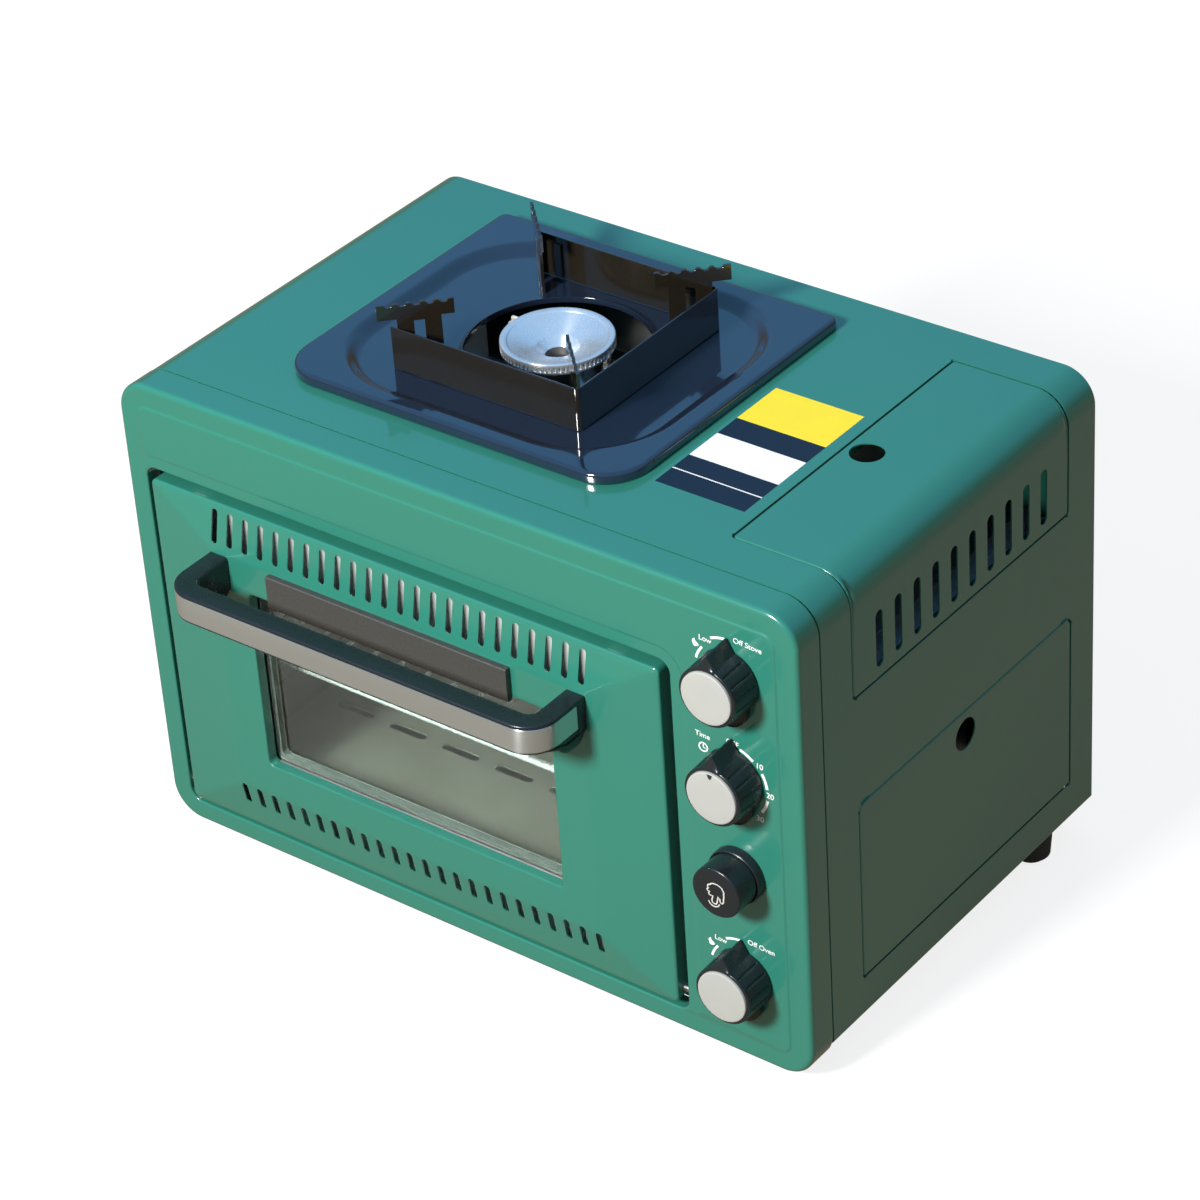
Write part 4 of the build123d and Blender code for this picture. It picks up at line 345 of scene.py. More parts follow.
DOOR_GAP = 5.5
OPENING_R = 8.0
FRAME_WIDE = 9.0
FRAME_DIP = 0.4
FRAME_SLOPE = 1.2
FIELD_RISE = 0.8
FIELD_INSET = 14.7
FIELD_R = 8.0
FIELD_SLOPE = 1.8
CORNER_R = 21.5
EDGE_R = 3.0
LIP_R = 1.4
LIP_STEP = 3.0
LIP_DEEP = 11.0
BEZEL_SHEET = 1.0

bezel_low, bezel_high = extent("bezel")
door_low, door_high = extent("door_skin")
face_y = bezel_low[1] + FIELD_RISE
door_size = (door_high - door_low)[[0, 2]]
door_centre = ((door_high + door_low) / 2)[[0, 2]]
opening_low = door_low[[0, 2]] - DOOR_GAP
opening_high = door_high[[0, 2]] + DOOR_GAP
bezel_edge = (bezel_low[[0, 2]], bezel_high[[0, 2]])


def depth_inside(x, z, low, high, radius):
    """Distance from a point in to the edge of a rounded rectangle, negative outside it: the larger of the
    distances past its two pairs of sides, and round the corner's centre in the corner squares."""
    past_x = np.abs(x - (low[0] + high[0]) / 2) - (high[0] - low[0]) / 2 + radius
    past_z = np.abs(z - (low[1] + high[1]) / 2) - (high[1] - low[1]) / 2 + radius
    round_part = np.hypot(np.maximum(past_x, 0), np.maximum(past_z, 0))
    return radius - round_part - np.minimum(np.maximum(past_x, past_z), 0)


def eased(share):
    """A smooth cubic from 0 to 1."""
    return share * share * (3 - 2 * share)


def step_up(distance, width):
    """0 before a pressed step, 1 after it, eased over its width."""
    return eased(np.clip(distance / width + 0.5, 0, 1))


def bezel_face(x, z):
    """Depth of the pressed face: the raised field, less the shallow frame around the door opening."""
    in_field = depth_inside(x, z, bezel_edge[0] + FIELD_INSET, bezel_edge[1] - FIELD_INSET, FIELD_R)
    in_frame = depth_inside(x, z, opening_low - FRAME_WIDE, opening_high + FRAME_WIDE, OPENING_R + FRAME_WIDE)
    field = step_up(in_field, FIELD_SLOPE)
    return face_y - FIELD_RISE * field + FRAME_DIP * field * step_up(in_frame, FRAME_SLOPE)


def face_ring(low, high, radii, back=0.0):
    """A ring of the face between two corners, pushed back by back from the pressed face."""
    centre = ((low[0] + high[0]) / 2, (low[1] + high[1]) / 2)
    flat = outline(high[0] - low[0], high[1] - low[1], radii, centre, 48, 40)
    return upright(flat, bezel_face(*flat.T) + back)


def opening_ring(near, far, radius, back=0.0):
    """A ring around the door opening, near outside it at left and foot, far outside it at right and top."""
    between = (OPENING_R + radius) / 2
    return face_ring(opening_low - near, opening_high + far, [OPENING_R + near, between, radius, between],
                     back)


def rim_ring(inset, back):
    """A ring along the outer edge; past the border its depth no longer follows the pressed face."""
    low, high = bezel_edge[0] + inset, bezel_edge[1] - inset
    points = face_ring(low, high, [CORNER_R - inset] * 4)
    points[:, 1] = face_y + back
    return points


def field_ring(near, inset, radius):
    """A ring on the field's raised edge, near outside the opening at left and foot."""
    return face_ring(opening_low - near, bezel_edge[1] - inset, [OPENING_R + near, radius, radius, radius])


rings = [opening_ring(0, 0, OPENING_R, LIP_DEEP), opening_ring(0, 0, OPENING_R, LIP_STEP)]
rings += [opening_ring(grown, grown, OPENING_R + grown, back) for back, grown in rounding(LIP_R, 5)]
FRAME_STEPS = ((1.45, 2.4, 10.4), (1.5, 8.0, 16), (1.55, 8.6, 16.6), (1.6, 9.0, 17), (1.65, 9.4, 17.4),
               (1.7, 10, 18), (1.8, 12, 20))
rings += [opening_ring(near, far, radius) for near, far, radius in FRAME_STEPS]
FIELD_STEPS = ((2.0, 3.0), (2.1, 1.1), (2.3, 0.6), (2.6, 0.2), (2.9, -0.2), (3.3, -0.6), (3.7, -1.1),
               (4.2, -2.5))
rings += [field_ring(near, FIELD_INSET + inset, FIELD_R) for near, inset in FIELD_STEPS]
rings += [rim_ring(EDGE_R + 0.6, 0)]
rings += [rim_ring(inset, back) for inset, back in rounding(EDGE_R, 7)]
rings += [rim_ring(0, EDGE_R + 0.6), rim_ring(0, bezel_high[1] - face_y - 0.4)]
rings += [rim_ring(0.2, bezel_high[1] - face_y)]
ringed("front_bezel", rings, green, "housing", ["bezel"], flip=True, thick=BEZEL_SHEET, crease=60)

# ---------------------------------------------------------------- wrap-round shell
# One sheet folded over both sides and the top, hemmed inwards along its lower edges. The hob hole, the lid
# opening and the hatch opening are cut before it is folded; its front edge slips inside the bezel's rim.
def grid_border(u_lines, v_lines):
    """Points (u, v) around a grid, from its first corner along v, then u, then back."""
    first = np.stack([np.full(len(v_lines) - 1, u_lines[0]), v_lines[:-1]], axis=1)
    right = np.stack([u_lines[:-1], np.full(len(u_lines) - 1, v_lines[-1])], axis=1)
    last = np.stack([np.full(len(v_lines) - 1, u_lines[-1]), v_lines[:0:-1]], axis=1)
    left = np.stack([u_lines[:0:-1], np.full(len(u_lines) - 1, v_lines[0])], axis=1)
    return np.concatenate([first, right, last, left])


def strip(u_lines, v_lines, holes=()):
    """Part of a flat sheet on (u, v), as (points, quads). It is a grid on the given lines, and over each
    hole (first v line, last v line, ring, shares) the grid gives way to rings that pass evenly from the
    cell's border, share 0, to the hole's own outline, share 1. ring(across, up) gives that outline."""
    u, v = np.meshgrid(u_lines, v_lines, indexing="ij")
    points = np.stack([u, v], axis=-1).reshape(-1, 2)
    rows, columns = len(u_lines), len(v_lines)
    grid = quads(rows, columns)
    column = grid[:, 0] % columns
    keep = np.ones(len(grid), bool)
    around = []
    for first, last, ring, shares in holes:
        keep &= (column < first) | (column >= last)
        border = grid_border(u_lines, v_lines[first:last + 1])
        hole = ring(last - first, rows - 1)[:, ::-1]
        around.append(tube([border + (hole - border) * share for share in shares]))
    return joined([(points, grid[keep]), *around])


def joined(strips):
    """Strips put together: one array of points and one of quads."""
    offsets = np.cumsum([0] + [len(points) for points, _ in strips[:-1]])
    faces = [faces + offset for (_, faces), offset in zip(strips, offsets)]
    return np.concatenate([points for points, _ in strips]), np.concatenate(faces)


def spaced(start, end, step):
    """Evenly spaced places from start to end, no further apart than step."""
    return np.linspace(start, end, max(2, int(math.ceil(abs(end - start) / step)) + 1))


def lines(*stops, step=4.0):
    """Places that pass through every stop, evenly spaced in between."""
    runs = [spaced(a, b, step)[:-1] for a, b in zip(stops[:-1], stops[1:])]
    return np.concatenate([*runs, [stops[-1]]])


def cell(v_lines, low, high):
    """Numbers of the lines nearest to low and high."""
    return int(np.abs(v_lines - low).argmin()), int(np.abs(v_lines - high).argmin())


shell_low, shell_high = extent("outer_shell")
lid_low, lid_high = extent("cartridge_lid")
hatch_low, hatch_high = extent("side_hatch")
pan_low, pan_high = extent("drip_pan")
SHELL_SHEET = 0.95
SHELL_R = 21.2
SEAM_BACK = 9.0
TONGUE_CLEAR = 12.0
HEM = 6.0
LID_GAP = 1.0
HOB_X = 207.0
HOB_HOLE_R = 60.0
HOB_CELL = 66.0
BASE_R = 1.2
hob = np.array([bezel_low[0] + HOB_X, (pan_low[1] + pan_high[1]) / 2])
half_wide = shell_high[0]
side_height = shell_high[2] - shell_low[2] - SHELL_R
corner_run = SHELL_R * np.pi / 2
top_run = 2 * half_wide - 2 * SHELL_R
shell_seam = shell_low[1] + SEAM_BACK


def folded(u, depth=0.0):
    """(x, z) of the folded sheet and its outward direction. u runs from the foot of the left side, up, round
    a quarter circle, across the top and down the right side; depth is measured inwards."""
    u = np.asarray(u, float)
    a = np.clip((u - side_height) / SHELL_R, 0, np.pi / 2)
    b = np.clip((u - side_height - corner_run - top_run) / SHELL_R, 0, np.pi / 2)
    down = np.maximum(u - side_height - 2 * corner_run - top_run, 0)
    across = np.clip(u - side_height - corner_run, 0, top_run)
    x = -half_wide + SHELL_R * (1 - np.cos(a)) + across + SHELL_R * np.sin(b)
    z = shell_low[2] + np.minimum(u, side_height) + SHELL_R * np.sin(a) - SHELL_R * (1 - np.cos(b)) - down
    out_x = np.where(u < side_height + corner_run, -np.cos(a), np.sin(b))
    out_z = np.where(u < side_height + corner_run, np.sin(a), np.cos(b))
    return x - out_x * depth, z - out_z * depth


def on_top(x):
    """u of a place on the top."""
    return side_height + corner_run + x + half_wide - SHELL_R


def on_right(z):
    """u of a place on the right side."""
    return 2 * side_height + 2 * corner_run + top_run - (z - shell_low[2])


def around_shell(points, depth=0.0):
    """Points of the flat sheet, (u, y), on the folded shell."""
    x, z = folded(points[:, 0], depth)
    return np.stack([x, points[:, 1], z], axis=1)


def cut_out(u_low, u_high, y_low, y_high, radii):
    """Outline of a rectangular opening, as a function of the steps on its sides."""
    centre = ((y_low + y_high) / 2, (u_low + u_high) / 2)
    return lambda across, up: outline(y_high - y_low, u_high - u_low, radii, centre, across, up)


def round_hole(u, y, radius):
    """Outline of a round hole, as a function of the steps on its four quarters."""
    return cut_out(u - radius, u + radius, y - radius, y + radius, [radius] * 4)


lid_opening = (on_top(lid_low[0] - LID_GAP), on_right(lid_low[2] - LID_GAP), lid_low[1] - LID_GAP,
               lid_high[1] + LID_GAP)
hatch_opening = (on_right(hatch_high[2] + LID_GAP), on_right(hatch_low[2] - LID_GAP), hatch_low[1] - LID_GAP,
                 hatch_high[1] + LID_GAP)
MARGIN = 3.0
even_rings = (0, 0.35, 0.7, 0.9, 1)
y_lines = lines(shell_seam, shell_seam + 1.5, shell_seam + 6, lid_opening[2] - 6, lid_opening[3] + 6,
                shell_high[1] - 1, shell_high[1], step=3.0)
hole_cells = cell(y_lines, hob[1] - HOB_CELL, hob[1] + HOB_CELL)
lid_cells = cell(y_lines, lid_opening[2] - MARGIN, lid_opening[3] + MARGIN)
hatch_cells = cell(y_lines, hatch_opening[2] - MARGIN, hatch_opening[3] + MARGIN)
end_u = on_right(shell_low[2])
u_left = lines(0, side_height, side_height + corner_run, on_top(hob[0] - HOB_CELL), step=3.0)
u_hob = lines(on_top(hob[0] - HOB_CELL), on_top(hob[0] + HOB_CELL), step=3.0)
u_gap = lines(on_top(hob[0] + HOB_CELL), lid_opening[0] - MARGIN, step=3.0)
u_lid = lines(lid_opening[0] - MARGIN, lid_opening[1] + MARGIN, step=2.5)
u_between = lines(lid_opening[1] + MARGIN, hatch_opening[0] - MARGIN, step=3.0)
u_hatch = lines(hatch_opening[0] - MARGIN, hatch_opening[1] + MARGIN, step=2.5)
u_foot = lines(hatch_opening[1] + MARGIN, end_u, step=3.0)
hob_circle = round_hole(on_top(hob[0]), hob[1], HOB_HOLE_R)
flat_points, shell_faces = joined([
    strip(u_left, y_lines), strip(u_hob, y_lines, [(*hole_cells, hob_circle, even_rings)]),
    strip(u_gap, y_lines),
    strip(u_lid, y_lines, [(*lid_cells, cut_out(*lid_opening, [3.0] * 4), even_rings)]),
    strip(u_between, y_lines),
    strip(u_hatch, y_lines, [(*hatch_cells, cut_out(*hatch_opening, [7.0, 7.0, 2.0, 2.0]), even_rings)]),
    strip(u_foot, y_lines)])
shell_points = around_shell(flat_points)


def hem(side):
    """Lower edge folded inwards: a quarter circle and a flat, along the whole depth."""
    bend = np.linspace(0, np.pi / 2, 5)
    across = np.concatenate([BASE_R * (1 - np.cos(bend)), [HEM]])
    drop = np.concatenate([-BASE_R * np.sin(bend), [-BASE_R]])
    x, y = np.meshgrid(across, y_lines, indexing="ij")
    z = np.repeat(drop[:, None], len(y_lines), axis=1) + BASE_R
    points = np.stack([side * (half_wide - x), y, shell_low[2] + z], axis=-1).reshape(-1, 3)
    faces = quads(len(across), len(y_lines))
    return points, faces if side > 0 else faces[:, ::-1]


shell_points[:, 2] = np.maximum(shell_points[:, 2], shell_low[2] + BASE_R)
tongue_y = lines(shell_low[1], shell_seam, step=3.0)
tongue_u = lines(TONGUE_CLEAR, side_height, side_height + corner_run, side_height + corner_run + top_run,
                 side_height + 2 * corner_run + top_run, end_u - TONGUE_CLEAR, step=6.0)
tongue_points, tongue_faces = strip(tongue_u, tongue_y)
tongue = (around_shell(tongue_points, depth=1.0), tongue_faces)
whole_shell = joined([(shell_points, shell_faces), hem(-1), hem(1), tongue])
piece("wrap_shell", *whole_shell, green, "housing", ["outer_shell"], flip=True, thick=SHELL_SHEET, bevel=0.3,
      crease=50)

# ---------------------------------------------------------------- door skin
# Pressed steel: the sides fold back, four shallow facets rise to a flat middle around the window, and two
# rows of round-ended slots let hot air out. It swings with the door on two pins at its lower corners.
FACET_SIDE = 50.0
FACET_TOP = 31.0
FACET_BOTTOM = 34.0
DOOR_RISE = 6.0
DOOR_SHEET = 0.9
DOOR_EDGE_R = 1.6
CREASE = 0.045
SLOTS = 24
SLOT_WIDE = 4.4
SLOT_PITCH = 11.9
TOP_SLOT = 22.0
LOW_SLOT = 16.0
TOP_SLOT_INSET = 4.0
LOW_SLOT_INSET = 17.5
WINDOW_SIDE = 74.75
WINDOW_BELOW = 56.5
WINDOW_ABOVE = 52.5
WINDOW_R = 4.0
DOOR_PROUD = 3.0
INSET = 3.0
CELL_STEPS = 8
SLOT_SHARES = (0, 0.6, 0.88, 1)
WINDOW_SHARES = (0, 0.06, 0.12, 0.18, 0.24, 0.4, 0.6, 0.8, 0.95, 1)
edge_y = face_y - DOOR_PROUD


def door_front(x, z):
    """Depth of the door's face. Each facet gives its own share of the rise, the distance from its edge over
    its width, and the smallest share counts; near a crease two shares blend by a short parabola."""
    shares = [(x - door_low[0]) / FACET_SIDE, (door_high[0] - x) / FACET_SIDE,
              (z - door_low[2]) / FACET_BOTTOM, (door_high[2] - z) / FACET_TOP]
    least = np.ones_like(x)
    for share in shares:
        near = np.clip((CREASE - np.abs(share - least)) / CREASE, 0, 1)
        least = np.minimum(share, least) - near ** 2 * CREASE / 4
    return edge_y - DOOR_RISE * np.clip(least, 0, 1)


slot_x0 = door_centre[0] - SLOTS * SLOT_PITCH / 2
slot_x1 = door_centre[0] + SLOTS * SLOT_PITCH / 2
x_margin = spaced(door_low[0] + INSET, slot_x0, 2.5)
x_slots = np.linspace(slot_x0, slot_x1, SLOTS * CELL_STEPS + 1)
door_x = np.concatenate([x_margin[:-1], x_slots, spaced(slot_x1, door_high[0] - INSET, 2.5)[1:]])
top_mid = door_high[2] - TOP_SLOT_INSET - TOP_SLOT / 2
low_mid = door_low[2] + LOW_SLOT_INSET + LOW_SLOT / 2
foot_z = lines(door_low[2] + INSET, low_mid - LOW_SLOT / 2 - 2.2, step=2.0)
low_z = np.linspace(foot_z[-1], low_mid + LOW_SLOT / 2 + 4.0, 13)
middle_z = lines(low_z[-1], top_mid - TOP_SLOT / 2 - 2.0, step=2.5)
top_z = np.linspace(middle_z[-1], door_high[2] - INSET, 17)
door_edge_z = np.concatenate([foot_z[:-1], low_z[:-1], middle_z[:-1], top_z])
window_cells = cell(door_x, slot_x0, slot_x1)
window_size = (door_size[0] - 2 * WINDOW_SIDE, door_size[1] - WINDOW_BELOW - WINDOW_ABOVE)
window_centre = (door_centre[0], door_low[2] + WINDOW_BELOW + window_size[1] / 2)


def window_ring(across, up, inwards=0.0):
    """The window's outline, moved in by inwards."""
    size = (window_size[0] - 2 * inwards, window_size[1] - 2 * inwards)
    return outline(*size, [WINDOW_R] * 4, window_centre, across, up)


def slot_holes(v_lines, start, count, steps, pitch, size, u, shares):
    """Holes for a strip: a round-ended slot in the middle of each of count equal cells, which begin at start
    and take so many steps of the v lines. size is (across v, along u)."""
    first = cell(v_lines, start, start)[0]
    holes = []
    for i in range(count):
        centre = (start + (i + 0.5) * pitch, u)
        ring = (lambda across, up, centre=centre: outline(*size, [size[0] / 2] * 4, centre, across, up))
        holes.append((first + i * steps, first + (i + 1) * steps, ring, shares))
    return holes


def door_slots(length, z):
    """One row of the door's slots."""
    return slot_holes(door_x, slot_x0, SLOTS, CELL_STEPS, SLOT_PITCH, (SLOT_WIDE, length), z, SLOT_SHARES)


door_flat, door_faces = joined([
    strip(foot_z, door_x), strip(low_z, door_x, door_slots(LOW_SLOT, low_mid)),
    strip(middle_z, door_x, [(*window_cells, window_ring, WINDOW_SHARES)]),
    strip(top_z, door_x, door_slots(TOP_SLOT, top_mid))])
door_z, door_across = door_flat.T
door_points = np.stack([door_across, door_front(door_across, door_z), door_z], axis=1)


def door_ring(inset, radius, y):
    """A ring around the door, moved in by inset, at a depth."""
    size = door_size - 2 * inset
    return upright(outline(*size, [radius] * 4, door_centre, len(door_x) - 1, len(door_edge_z) - 1), y)


grid_edge = grid_border(door_edge_z, door_x)[:, ::-1]
door_rings = [upright(grid_edge, door_front(*grid_edge.T)), door_ring(DOOR_EDGE_R, 3.0, edge_y - 0.05)]
door_rings += [door_ring(inset, 4.0, edge_y + back) for inset, back in rounding(DOOR_EDGE_R, 6, start=0.3)]
door_rings += [door_ring(0, 4.0, edge_y + 3), door_ring(0, 4.0, door_high[1])]
# The window's lip runs back to the pane, in steps of (inwards, back).
lip_rings = [upright(window_ring(window_cells[1] - window_cells[0], len(middle_z) - 1, inwards),
                     edge_y - DOOR_RISE + back)
             for inwards, back in ((0, 0), (0.35, 0.25), (0.6, 0.9), (0.6, 7.0))]
whole_skin = joined([(door_points, door_faces), tube(door_rings, inside_out=True), tube(lip_rings)])
piece("pressed_door", *whole_skin, green, "door", ["door_skin"], thick=DOOR_SHEET, bevel=0.25, crease=55)

# ---------------------------------------------------------------- window and inner panel
# A toughened pane is pressed against the door's folded lip by a steel frame, with a bright folded bead along
# its foot. An aluminised inner panel closes the door behind its slots and catches the light through them.
def dress(material, *names):
    """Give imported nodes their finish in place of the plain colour."""
    for name in names:
        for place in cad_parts[name].material_slots:
            place.material = material


def refined(name, nodes, material, body, bevel=0.3, crease=30):
    """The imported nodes' own shape as one piece: triangles merged, flat facets joined, edges rounded."""
    whole = bmesh.new()
    for node in nodes:
        shape = bmesh.new()
        shape.from_mesh(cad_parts[node].data)
        bmesh.ops.remove_doubles(shape, verts=shape.verts, dist=0.01 * MM)
        bmesh.ops.dissolve_limit(shape, angle_limit=math.radians(1), verts=shape.verts, edges=shape.edges)
        part = bpy.data.meshes.new(node)
        shape.to_mesh(part)
        shape.free()
        whole.from_mesh(part)
        bpy.data.meshes.remove(part)
    mesh = bpy.data.meshes.new(name)
    whole.to_mesh(mesh)
    whole.free()
    mesh.polygons.foreach_set("material_index", np.zeros(len(mesh.polygons), np.int32))
    return finish_piece(name, mesh, material, body, nodes, 0, bevel, crease)


inner_panel = coating("bright_liner", (0.70, 0.72, 0.70), (0.60, 0.62, 0.61), 18.0, (0.30, 0.42), 0.02, 400.0,
                      metallic=0.35)
bright_steel = coating("stainless", (0.62, 0.62, 0.60), (0.54, 0.54, 0.53), 40.0, (0.20, 0.32), 0.01, 1200.0,
                       metallic=1.0, stretch=(0.06, 1, 1))
dress(inner_panel, "door_liner")
dull_steel = coating("dull_steel", (0.26, 0.26, 0.25), (0.20, 0.20, 0.19), 30.0, (0.35, 0.5), 0.02, 400.0,
                     metallic=0.8)
refined("window_frame", ["glass_frame"], dull_steel, "door", 0.2)

BEAD_TALL = 1.4
BEAD_OUT = 1.8
BEAD_SIDES = 20


def capped(rings, name, material, body, replaced, **finish):
    """A tube of rings with both ends closed by a point in their middle."""
    first, last = (np.repeat(end.mean(axis=1, keepdims=True), rings.shape[1], axis=1)
                   for end in (rings[:1], rings[-1:]))
    return ringed(name, np.concatenate([first, rings, last]), material, body, replaced, **finish)


bead_low, bead_high = extent("window_bead")
bead_x, bead_turn = np.meshgrid(np.linspace(bead_low[0], bead_high[0], 9),
                                np.linspace(0, 2 * np.pi, BEAD_SIDES, endpoint=False), indexing="ij")
bead_rings = np.stack([bead_x, bead_high[1] - BEAD_OUT / 2 * (1 - np.sin(bead_turn)),
                       bead_low[2] + BEAD_TALL / 2 * (1 + np.cos(bead_turn))], axis=-1)
capped(bead_rings, "window_foot_bead", dull_steel, "door", ["window_bead"], crease=40)

# A dark woven gasket fills the gap between the pane's frame and the inner panel. It is also painted shade: it
# darkens the inner panel's face around the opening, which the light through the pane would catch. Its opening
# runs between the low and high corners given below.
GASKET_SHADE_WIDE = 10.0
GASKET_SHADE_R = 4.0
GASKET_SHADE_LOW = (-147.0, 84.7)
GASKET_SHADE_HIGH = (75.5, 206.8)
gasket_shade_front, gasket_shade_back = extent("glass_frame")[1][1], extent("door_liner")[0][1]
gasket_shade_centre = np.add(GASKET_SHADE_LOW, GASKET_SHADE_HIGH) / 2
gasket_shade_opening = np.subtract(GASKET_SHADE_HIGH, GASKET_SHADE_LOW)
gasket_shade_steps = ((gasket_shade_front, GASKET_SHADE_WIDE), (gasket_shade_front, 0), (gasket_shade_back, 0), (gasket_shade_back, GASKET_SHADE_WIDE))
gasket_shade_rings = [upright(outline(*(gasket_shade_opening + 2 * grown), [GASKET_SHADE_R + grown] * 4, gasket_shade_centre, 24,
                                16), y) for y, grown in gasket_shade_steps]
woven = coating("woven_seal", (0.045, 0.045, 0.043), (0.10, 0.10, 0.096), 500.0, (0.7, 0.9), 0.5, 700.0,
                detail=6.0)
ringed("pane_gasket_shade", gasket_shade_rings + gasket_shade_rings[:1], woven, "door")

pane = coating("clear_glass", (0.86, 0.95, 0.91), (0.84, 0.94, 0.90), 4.0, (0.01, 0.03), level=0.5)
nodes, links = pane.node_tree.nodes, pane.node_tree.links
nodes["Principled BSDF"].inputs["Transmission Weight"].default_value = 1.0
nodes["Principled BSDF"].inputs["IOR"].default_value = 1.45
clear = nodes.new("ShaderNodeBsdfTransparent")
clear.inputs["Color"].default_value = (0.86, 0.94, 0.90, 1)
shadow_ray = nodes.new("ShaderNodeLightPath").outputs["Is Shadow Ray"]
glazing = either(nodes, links, shadow_ray, nodes["Principled BSDF"].outputs[0], clear.outputs[0])
links.new(glazing, nodes["Material Output"].inputs["Surface"])
dress(pane, "door_glass")

# ---------------------------------------------------------------- heat deflector
# A steel strip folded into a shallow cap over the window, spot-welded to the door. It keeps the hot air that
# leaves the slots off the handle. Dark, finely textured stove paint.
stove_paint = coating("textured_paint", (0.032, 0.033, 0.031), (0.075, 0.076, 0.072), 700.0, (0.36, 0.52),
                      0.08, 1100.0, metallic=0.2, level=0.5)
refined("heat_deflector_strip", ["heat_deflector"], stove_paint, "door", 0.35)

# ---------------------------------------------------------------- handle
# A moulded black grip bent like a bail, with a shallow recess along its outside for a steel band, and a lobe
# under each foot. Two screws through the door skin hold it.
GRIP_DEEP = 14.0
GRIP_BEND = 20.0
GRIP_INNER_R = 2.0
GRIP_OUTER_R = 1.2
LOBE_SOFT = 2.2
BAND_FOOT = 1.2
BAND_SINK = 0.8
BAND_SHORT = 7.0
FOOT_SINK = 0.16
grip_low, grip_high = extent("handle_grip")
band_low, band_high = extent("handle_band")
grip_top = grip_high[2]
grip_foot = band_low[2] - BAND_FOOT
door_face_y = grip_high[1]
grip_reach = door_face_y - grip_low[1]
grip_wide = grip_high[0] - grip_low[0]
leg = grip_reach - GRIP_BEND
arc = GRIP_BEND * np.pi / 2
bar = grip_wide - 2 * GRIP_BEND


def grip_place(along, inset):
    """(x, y) at a distance along the grip's outer line, inset towards its inside: a leg out from the door, a
    quarter circle, the bar, a quarter circle and a leg back."""
    a = np.clip((along - leg) / GRIP_BEND, 0, np.pi / 2)
    b = np.clip((along - leg - arc - bar) / GRIP_BEND, 0, np.pi / 2)
    out = np.minimum(along, leg)
    across = np.clip(along - leg - arc, 0, bar)
    back = np.maximum(along - leg - 2 * arc - bar, 0)
    x = grip_low[0] + GRIP_BEND * (1 - np.cos(a)) + across + GRIP_BEND * np.sin(b)
    y = door_face_y - out - GRIP_BEND * np.sin(a) + GRIP_BEND * (1 - np.cos(b)) + back
    first = along < leg + arc + bar / 2
    inner_x = np.where(first, np.cos(a), -np.sin(b))
    inner_y = np.where(first, np.sin(a), np.cos(b))
    inner_x = np.where(along > leg + 2 * arc + bar - 0.01, -1.0, inner_x)
    inner_y = np.where(along > leg + 2 * arc + bar - 0.01, 0.0, inner_y)
    return x + inner_x * inset, y + inner_y * inset


def carried(sections, along):
    """A closed section carried along the grip: sections holds (inset, z) for each place along it."""
    x, y = grip_place(along[:, None], sections[..., 0])
    return np.stack([x, y, sections[..., 1]], axis=-1)


total = 2 * leg + 2 * arc + bar
from_door = lines(0, 2, 5.6, 17.8, leg, step=1.2)
grip_along = np.concatenate([from_door, leg + np.linspace(0, arc, 13)[1:],
                             spaced(leg + arc, leg + arc + bar, 12)[1:],
                             leg + arc + bar + np.linspace(0, arc, 13)[1:], (total - from_door)[::-1][1:]])
door_distance = np.minimum(grip_along, total - grip_along)
lobe_drop = np.interp(door_distance, *zip((0, 3.0), (5.6, 10.0), (17.8, 10.0), (29.8, 0.0)))
lobe_drop = np.convolve(np.pad(lobe_drop, 2, mode="edge"), np.ones(5) / 5, mode="valid")
outer, inner = rounding(GRIP_OUTER_R, 5), rounding(GRIP_INNER_R, 5)
section = [(0, grip_foot + GRIP_OUTER_R), (0, band_low[2] - 0.2), (0.15, band_low[2]),
           (BAND_SINK, band_low[2]), (BAND_SINK, band_high[2]), (0.15, band_high[2]), (0, band_high[2] + 0.2)]
section += [(drop, grip_top - inset) for inset, drop in outer]
section += [(GRIP_DEEP - inset, grip_top - drop) for inset, drop in inner]
section += [(GRIP_DEEP - drop, grip_foot + inset) for inset, drop in inner]
section += [(inset, grip_foot + drop) for inset, drop in outer[:-1]]
section = np.array(section)
grip_sections = np.repeat(section[None], len(grip_along), axis=0)
low_part = np.clip((grip_foot + LOBE_SOFT - section[:, 1]) / LOBE_SOFT, 0, 1)
grip_sections[..., 1] -= lobe_drop[:, None] * low_part[None]
in_recess = (section[:, 0] == BAND_SINK) & (np.abs(section[:, 1] - (grip_foot + grip_top) / 2) < 9)
near_door = (door_distance < BAND_SHORT)[:, None] & in_recess[None]
grip_sections[..., 0] = np.where(near_door, FOOT_SINK, grip_sections[..., 0])
black_plastic = coating("black_plastic", (0.008, 0.011, 0.014), (0.012, 0.016, 0.019), 30.0, (0.22, 0.32),
                        0.02, 1600.0, level=0.45)
capped(carried(grip_sections, grip_along), "handle_moulding", black_plastic, "door", ["handle_grip"],
       crease=40)

band_steel = coating("brushed_band", (0.61, 0.66, 0.655), (0.52, 0.565, 0.56), 55.0, (0.20, 0.30), 0.012,
                     900.0, metallic=0.85, stretch=(0.05, 0.05, 1))


def drawn(material, amount, turn):
    """Stretch the gloss across the marks left by brushing or turning, which run around the Z axis."""
    nodes, links = material.node_tree.nodes, material.node_tree.links
    marks = nodes.new("ShaderNodeTangent")
    marks.direction_type = "RADIAL"
    marks.axis = "Z"
    links.new(marks.outputs["Tangent"], nodes["Principled BSDF"].inputs["Tangent"])
    nodes["Principled BSDF"].inputs["Anisotropic"].default_value = amount
    nodes["Principled BSDF"].inputs["Anisotropic Rotation"].default_value = turn


